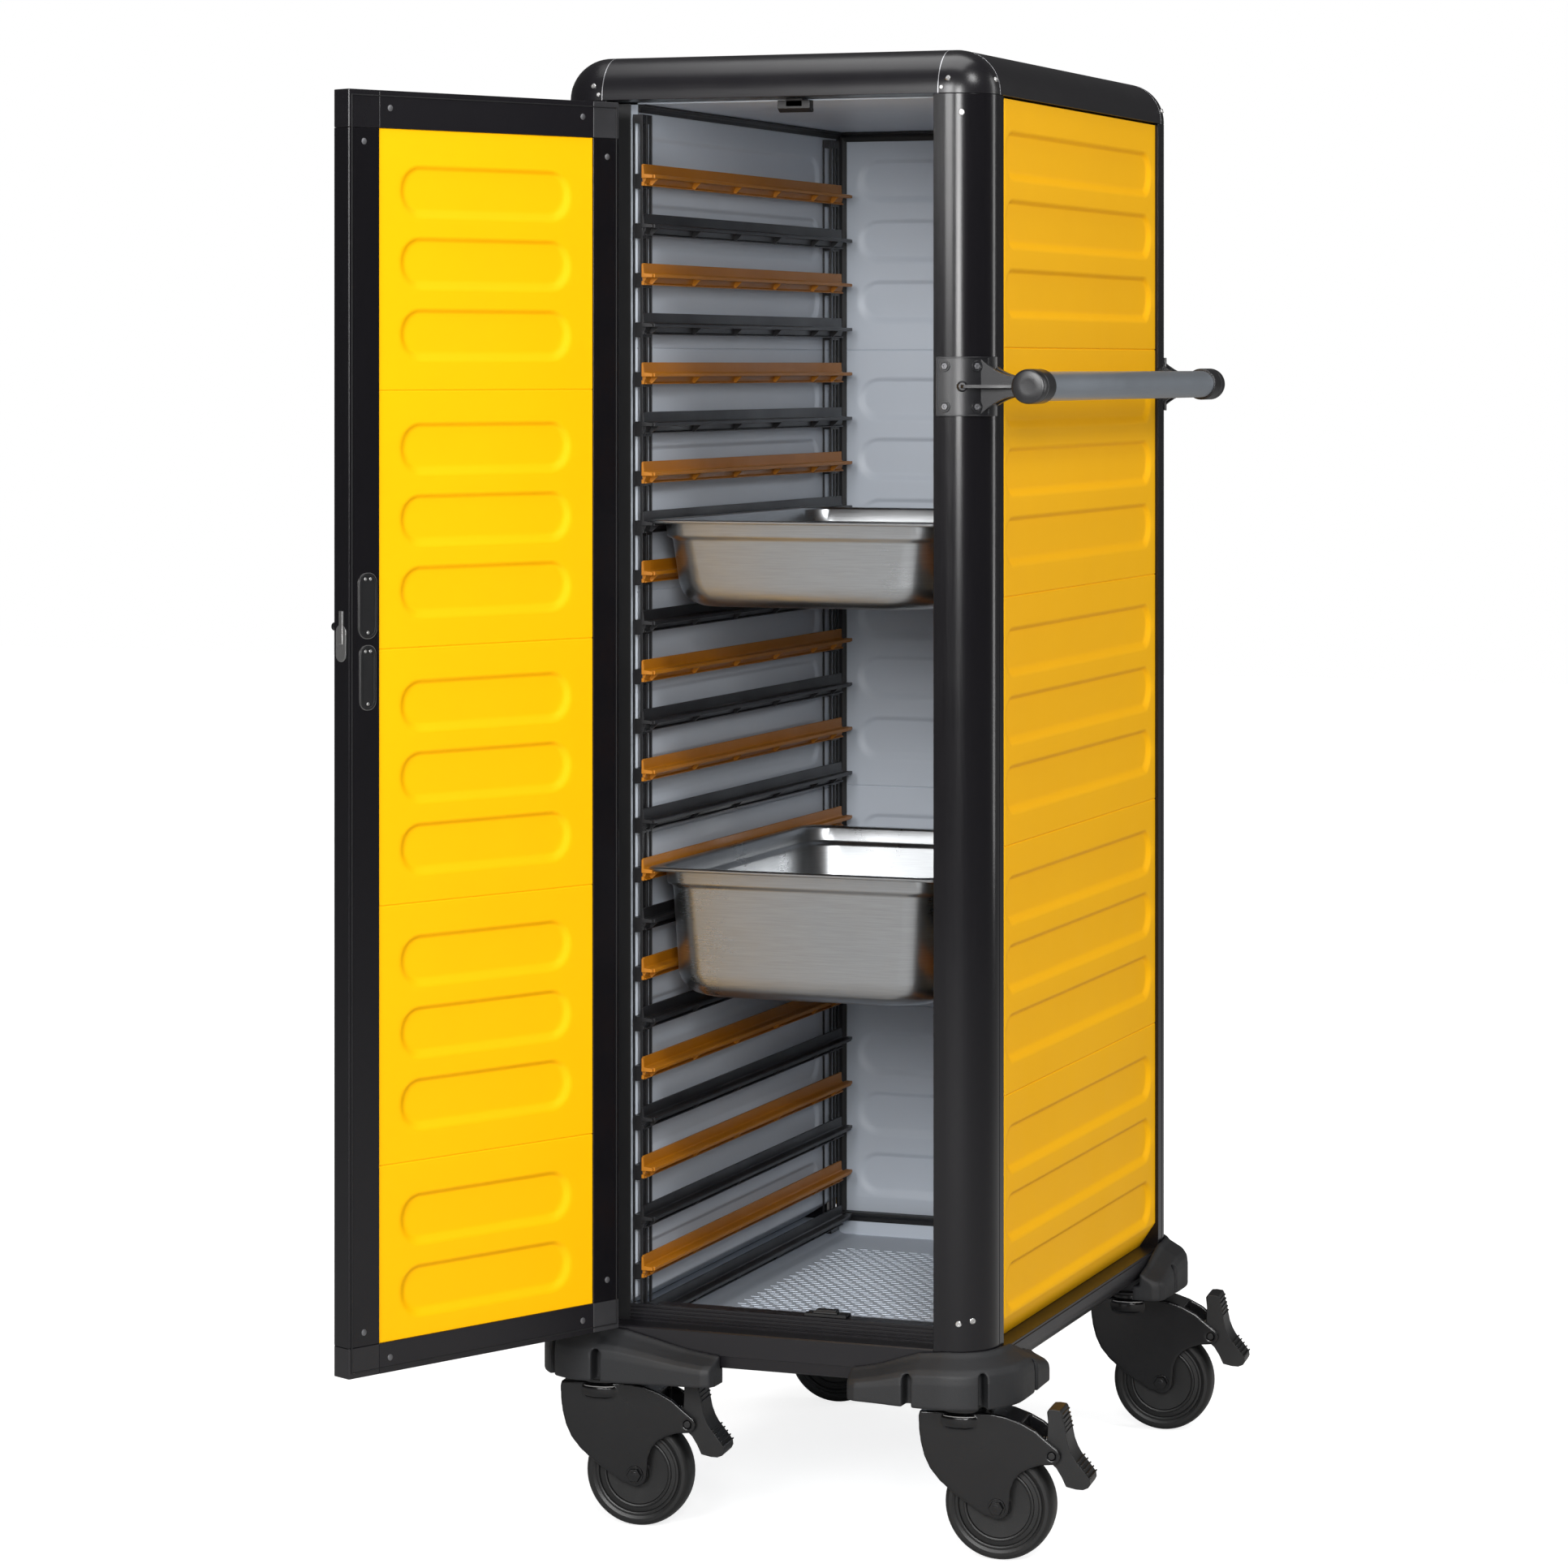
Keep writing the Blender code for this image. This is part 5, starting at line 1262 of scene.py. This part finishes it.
TRAIL = 0.042
WHEEL_R = 0.0625
FORK_HALF = 0.0275
LEG_INSIDE = 0.0222
COIL_STEPS = 48
PIVOT = (0.104, 0.123)
RACE = 0.1735
AXLE = (TRAIL, 0, WHEEL_R)
PIVOT_AT = (PIVOT[0], 0, PIVOT[1])
UP = (0, 0, 1)
SIDEWAYS = (0, 1, 0)


def fork_side():
    """The fork seen from the side, as (distance behind the swivel, z)."""
    front = [(-0.0455, 0.1655), (-0.0470, 0.1600), (-0.0466, 0.1450), (-0.0445, 0.1300), (-0.0405, 0.1150)]
    front += [(-0.0340, 0.1015), (-0.0230, 0.0885), (-0.0050, 0.0735), (0.0160, 0.0600), (0.0285, 0.0520)]
    boss = arc((TRAIL, WHEEL_R), 0.0138, 225, 350, 12)
    under = [(0.0565, 0.0700), (0.0575, 0.0820), (0.0620, 0.0940)]
    under += [(0.0690, 0.1020), (0.0800, 0.1080), (0.0920, 0.1120)]
    nose = arc(PIVOT, 0.0100, -80, 60, 8)
    top = [(0.0980, 0.1400), (0.0860, 0.1500), (0.0700, 0.1580), (0.0520, 0.1640), (0.0380, 0.1662)]
    return front + boss + under + nose + top


def pedal_side():
    """The rocker seen from the side: its upright foot plate, its neck and its lower lip."""
    outline = [(0.0965, 0.1690), (0.0990, 0.1728), (0.1050, 0.1733), (0.1125, 0.1725), (0.1142, 0.1700)]
    outline += [(0.1150, 0.1640), (0.1175, 0.1560), (0.1190, 0.1470), (0.1215, 0.1350), (0.1250, 0.1260)]
    outline += [(0.1290, 0.1190), (0.1380, 0.1080), (0.1455, 0.0985), (0.1462, 0.0930), (0.1440, 0.0885)]
    outline += [(0.1380, 0.0860), (0.1300, 0.0862), (0.1190, 0.0885), (0.1140, 0.0990), (0.1080, 0.1085)]
    return outline + [(0.0990, 0.1165), (0.0970, 0.1300), (0.0985, 0.1500)]


def wheel_half():
    """(radius, distance out along the axle) from the hub's face to the middle of the tread."""
    hub = [(0.0064, 0.0205), (0.0125, 0.0205), (0.0135, 0.0195), (0.0140, 0.0150), (0.0150, 0.0140)]
    hub += [(0.0300, 0.0146), (0.0360, 0.0150), (0.0370, 0.0168), (0.0385, 0.0172), (0.0398, 0.0168)]
    hub += [(0.0404, 0.0150), (0.0450, 0.0146), (0.0458, 0.0172), (0.0470, 0.0178), (0.0490, 0.0176)]
    hub += [(0.0498, 0.0162)]
    tyre = [(0.0506, 0.0166), (0.0530, 0.0178), (0.0565, 0.0176), (0.0590, 0.0160), (0.0608, 0.0130)]
    return hub + tyre + [(0.0619, 0.0090), (0.0624, 0.0045), (0.0625, 0.0)]


for corner, (sx, sy) in CORNERS.items():
    at = Vector(joints[f"swivel_{corner}"]["pos_m"])
    axle_at = Vector(joints[f"roll_{corner}"]["pos_m"])
    trail = math.atan2(axle_at.y - at.y, axle_at.x - at.x)
    stand = Matrix.Translation((at.x, at.y, 0)) @ Matrix.Rotation(trail, 4, "Z")
    bm = bmesh.new()
    push(bm, fork_side(), -FORK_HALF, FORK_HALF, "Y")
    skirt = [(0, 0.1480), (0.0300, 0.1480), (0.0335, 0.1500), (0.0345, 0.1540)]
    skirt += [(0.0345, 0.1600), (0.0330, 0.1625), (0.0300, 0.1640), (0, 0.1640)]
    turned(bm, skirt, (0, 0, 0), UP, 40)
    cuts = [bmesh.new() for _ in range(5)]
    rod(cuts[0], 0.0665, -LEG_INSIDE, LEG_INSIDE, AXLE, SIDEWAYS, 48)
    rod(cuts[1], 0.0065, -0.04, 0.04, AXLE, SIDEWAYS, 48)
    rod(cuts[2], 0.0045, -0.04, 0.04, PIVOT_AT, SIDEWAYS, 20)
    block(cuts[3], (0.070, -LEG_INSIDE, 0.04), (0.16, LEG_INSIDE, 0.2))
    block(cuts[4], (-0.06, -LEG_INSIDE, 0.01), (0.16, LEG_INSIDE, 0.072))
    made = moulded(bm, cuts, 0.0012, 4, 0.6)
    name = f"caster_fork_{corner}"
    fork = f"caster_{corner}"
    put(f"{name}_shell", made, FORK_BLACK, fork, [name], stand, soft=60)
    bm = bmesh.new()
    race = [(0, 0.1635), (0.0290, 0.1635), (0.0305, 0.1655)]
    race += [(0.0305, 0.1690), (0.0290, 0.1700), (0, 0.1700)]
    turned(bm, race, (0, 0, 0), UP, 40)
    plate = [(0, 0.1698), (0.0330, 0.1698), (0.0335, 0.1710), (0.0335, RACE), (0, RACE)]
    turned(bm, plate, (0, 0, 0), UP, 40)
    put(f"caster_race_{corner}", bm, FORK_BLACK, fork, [name], stand, 0.0005)
    bm = bmesh.new()
    # Painted highlight: a thin bright steel ring at the skirt's shoulder stands in for the glint on the
    # dark swivel head.
    ring = [(0.0325, 0.1612), (0.0336, 0.1612), (0.0336, 0.1622), (0.0325, 0.1622)]
    ring_of(bm, ring, (0, 0, 0), UP, 40)
    put(f"caster_race_painted_glint_ring_{corner}", bm, BRIGHT_STEEL, fork, at=stand)
    bm = bmesh.new()
    rod(bm, 0.0059, -0.0300, 0.0300, AXLE, SIDEWAYS, 24)
    washer = [(0, 0.0276), (0.0098, 0.0276), (0.0100, 0.0280), (0.0098, 0.0290), (0, 0.0290)]
    nut = [(0, 0.0288), (0.0086, 0.0288), (0.0086, 0.0312), (0.0078, 0.0326), (0.0046, 0.0327), (0, 0.0322)]
    end = [(0, 0.0322), (0.0044, 0.0322), (0.0044, 0.0326), (0.0038, 0.0328), (0, 0.0328)]
    for side in (-1, 1):
        for shape, steps in ((washer, 28), (nut, 6), (end, 20)):
            turned(bm, shape, AXLE, (0, side, 0), steps)
    name = f"caster_axle_{corner}"
    put(f"{name}_bolt", bm, FORK_BLACK, fork, [name], stand, 0.0002)
    bm = bmesh.new()
    profile = wheel_half()
    ring_of(bm, profile + [(r, -y) for r, y in profile[-2::-1]], AXLE, SIDEWAYS, 72)
    name = f"caster_wheel_{corner}"
    put(f"{name}_tyre_and_hub", bm, TYRE_BLACK, f"wheel_{corner}", [name], stand, soft=28)
    bm = bmesh.new()
    push(bm, pedal_side(), -0.0150, 0.0150, "Y")
    wing = [p for p in pedal_side() if p[0] > 0.0968]
    for low, high in ((-0.0205, -0.0145), (0.0145, 0.0205)):
        push(bm, wing, low, high, "Y")
    for i in range(5):
        z = 0.1675 - i * 0.0048
        x = 0.1146 + (0.1675 - z) * 0.22
        block(bm, (x - 0.0020, -0.0200, z - 0.0009), (x + 0.0014, 0.0200, z + 0.0009))
        x, z = 0.1318 + i * 0.0033, 0.1165 - i * 0.0042
        rib = [(x - 0.0020, z - 0.0022), (x - 0.0004, z - 0.0030)]
        rib += [(x + 0.0022, z + 0.0006), (x + 0.0006, z + 0.0014)]
        push(bm, rib, -0.0200, 0.0200, "Y")
    rod(bm, 0.0040, -0.0275, 0.0275, PIVOT_AT, SIDEWAYS, 20)
    name = f"caster_pedal_{corner}"
    rocker = f"pedal_{corner}"
    put(f"{name}_rocker", bm, PEDAL_BLACK, rocker, [name], stand, 0.0006, soft=35)
    bm = bmesh.new()
    coil = []
    for i in range(COIL_STEPS + 1):
        a = math.tau * i / 8
        coil.append(Vector((0.0800 + 0.0004 * i, 0.0045 * math.cos(a), 0.1330 + 0.0045 * math.sin(a))))
    wire = arc((0, 0), 0.0008, 0, 360, 8)[:-1]
    rings = []
    for i, p in enumerate(coil):
        ahead = (coil[min(i + 1, COIL_STEPS)] - coil[max(i - 1, 0)]).normalized()
        turn = ahead.to_track_quat("Z", "Y").to_matrix()
        rings.append([bm.verts.new(p + turn @ Vector((u, v, 0))) for u, v in wire])
    join_rings(bm, rings)
    bm.faces.new(rings[0])
    bm.faces.new(rings[-1])
    put(f"caster_spring_{corner}", bm, BRIGHT_STEEL, fork, at=stand, soft=60)

# Studio: a plain pale floor, soft light from the left, right and above, and the camera.
FLOOR_PAPER = bpy.data.materials.new("pale_studio_floor")
FLOOR_PAPER.use_nodes = True
paper_nodes, paper_links = FLOOR_PAPER.node_tree.nodes, FLOOR_PAPER.node_tree.links
paper = paper_nodes["Principled BSDF"]
paper.inputs["Base Color"].default_value = (0.5, 0.5, 0.5, 1)
paper.inputs["Roughness"].default_value = 0.9
paper.inputs["Emission Color"].default_value = (1, 1, 1, 1)
direct = paper_nodes.new("ShaderNodeLightPath")
place = paper_nodes.new("ShaderNodeNewGeometry")
reach = paper_nodes.new("ShaderNodeVectorMath")
reach.operation = "LENGTH"
paper_links.new(place.outputs["Position"], reach.inputs[0])
brighter = math_node(paper_nodes, paper_links, "MULTIPLY", reach.outputs["Value"], 0.09)
lit = math_node(paper_nodes, paper_links, "ADD", brighter, 0.76, True)
glow = math_node(paper_nodes, paper_links, "MULTIPLY", direct.outputs["Is Camera Ray"], lit)
paper_links.new(glow, paper.inputs["Emission Strength"])
floor_mesh = bpy.data.meshes.new("studio_floor")
corners = [(-14, -14, 0), (14, -14, 0), (14, 14, 0), (-14, 14, 0)]
floor_mesh.from_pydata(corners, [], [(0, 1, 2, 3)])
floor_mesh.materials.append(FLOOR_PAPER)
floor = bpy.data.objects.new("studio_floor", floor_mesh)
bpy.context.scene.collection.objects.link(floor)


def softbox(name, at, aim, size, power, tall):
    """A rectangular soft light that faces a point."""
    light = bpy.data.lights.new(name, "AREA")
    light.shape = "RECTANGLE"
    light.size = size
    light.size_y = tall
    light.energy = power
    lamp = bpy.data.objects.new(name, light)
    lamp.location = at
    lamp.rotation_euler = (Vector(aim) - Vector(at)).to_track_quat("-Z", "Y").to_euler()
    bpy.context.scene.collection.objects.link(lamp)


softbox("key_softbox", (-0.2, -5.3, 2.5), (0.2, -0.4, 1.3), 1.8, 175, 1.8)
softbox("cavity_softbox", (1.75, -4.1, 1.9), (0, 0, 0.9), 0.9, 110, 1.5)
softbox("side_softbox", (3.3, -1.6, 4.0), (0.2, 0, 0.9), 1.2, 66, 1.2)
softbox("rim_strip", (2.3, 1.8, 1.6), (0.2, 0.2, 1.0), 0.35, 14, 2.4)
softbox("overhead_softbox", (0, -0.2, 4.2), (0, 0, 0), 2.4, 60, 2.4)
world = bpy.data.worlds.new("white_studio")
world.use_nodes = True
sky_nodes, sky_links = world.node_tree.nodes, world.node_tree.links
ambient = sky_nodes["Background"]
ambient.inputs["Color"].default_value = (1, 1, 1, 1)
backdrop = sky_nodes.new("ShaderNodeBackground")
backdrop.inputs["Color"].default_value = (1, 1, 1, 1)
seen = sky_nodes.new("ShaderNodeLightPath")
dimmer = math_node(sky_nodes, sky_links, "MULTIPLY", seen.outputs["Is Glossy Ray"], -0.16)
sky_links.new(math_node(sky_nodes, sky_links, "ADD", dimmer, 0.24), ambient.inputs["Strength"])
choice = sky_nodes.new("ShaderNodeMixShader")
sky_links.new(seen.outputs["Is Camera Ray"], choice.inputs[0])
sky_links.new(ambient.outputs[0], choice.inputs[1])
sky_links.new(backdrop.outputs[0], choice.inputs[2])
sky_links.new(choice.outputs[0], sky_nodes["World Output"].inputs["Surface"])
bpy.context.scene.world = world

camera_data = bpy.data.cameras.new("camera")
camera_data.lens = 105.17
camera_data.sensor_width = 36.0
camera_data.shift_y = -0.2666
camera_data.clip_end = 60
camera = bpy.data.objects.new("camera", camera_data)
camera.location = (MIDDLE.x + 1.8212, MIDDLE.y - 5.2014, 1.3297)
camera.rotation_euler = (math.radians(90), 0, math.radians(20.5))
bpy.context.scene.collection.objects.link(camera)
bpy.context.scene.camera = camera

bpy.context.scene.view_settings.view_transform = "Standard"
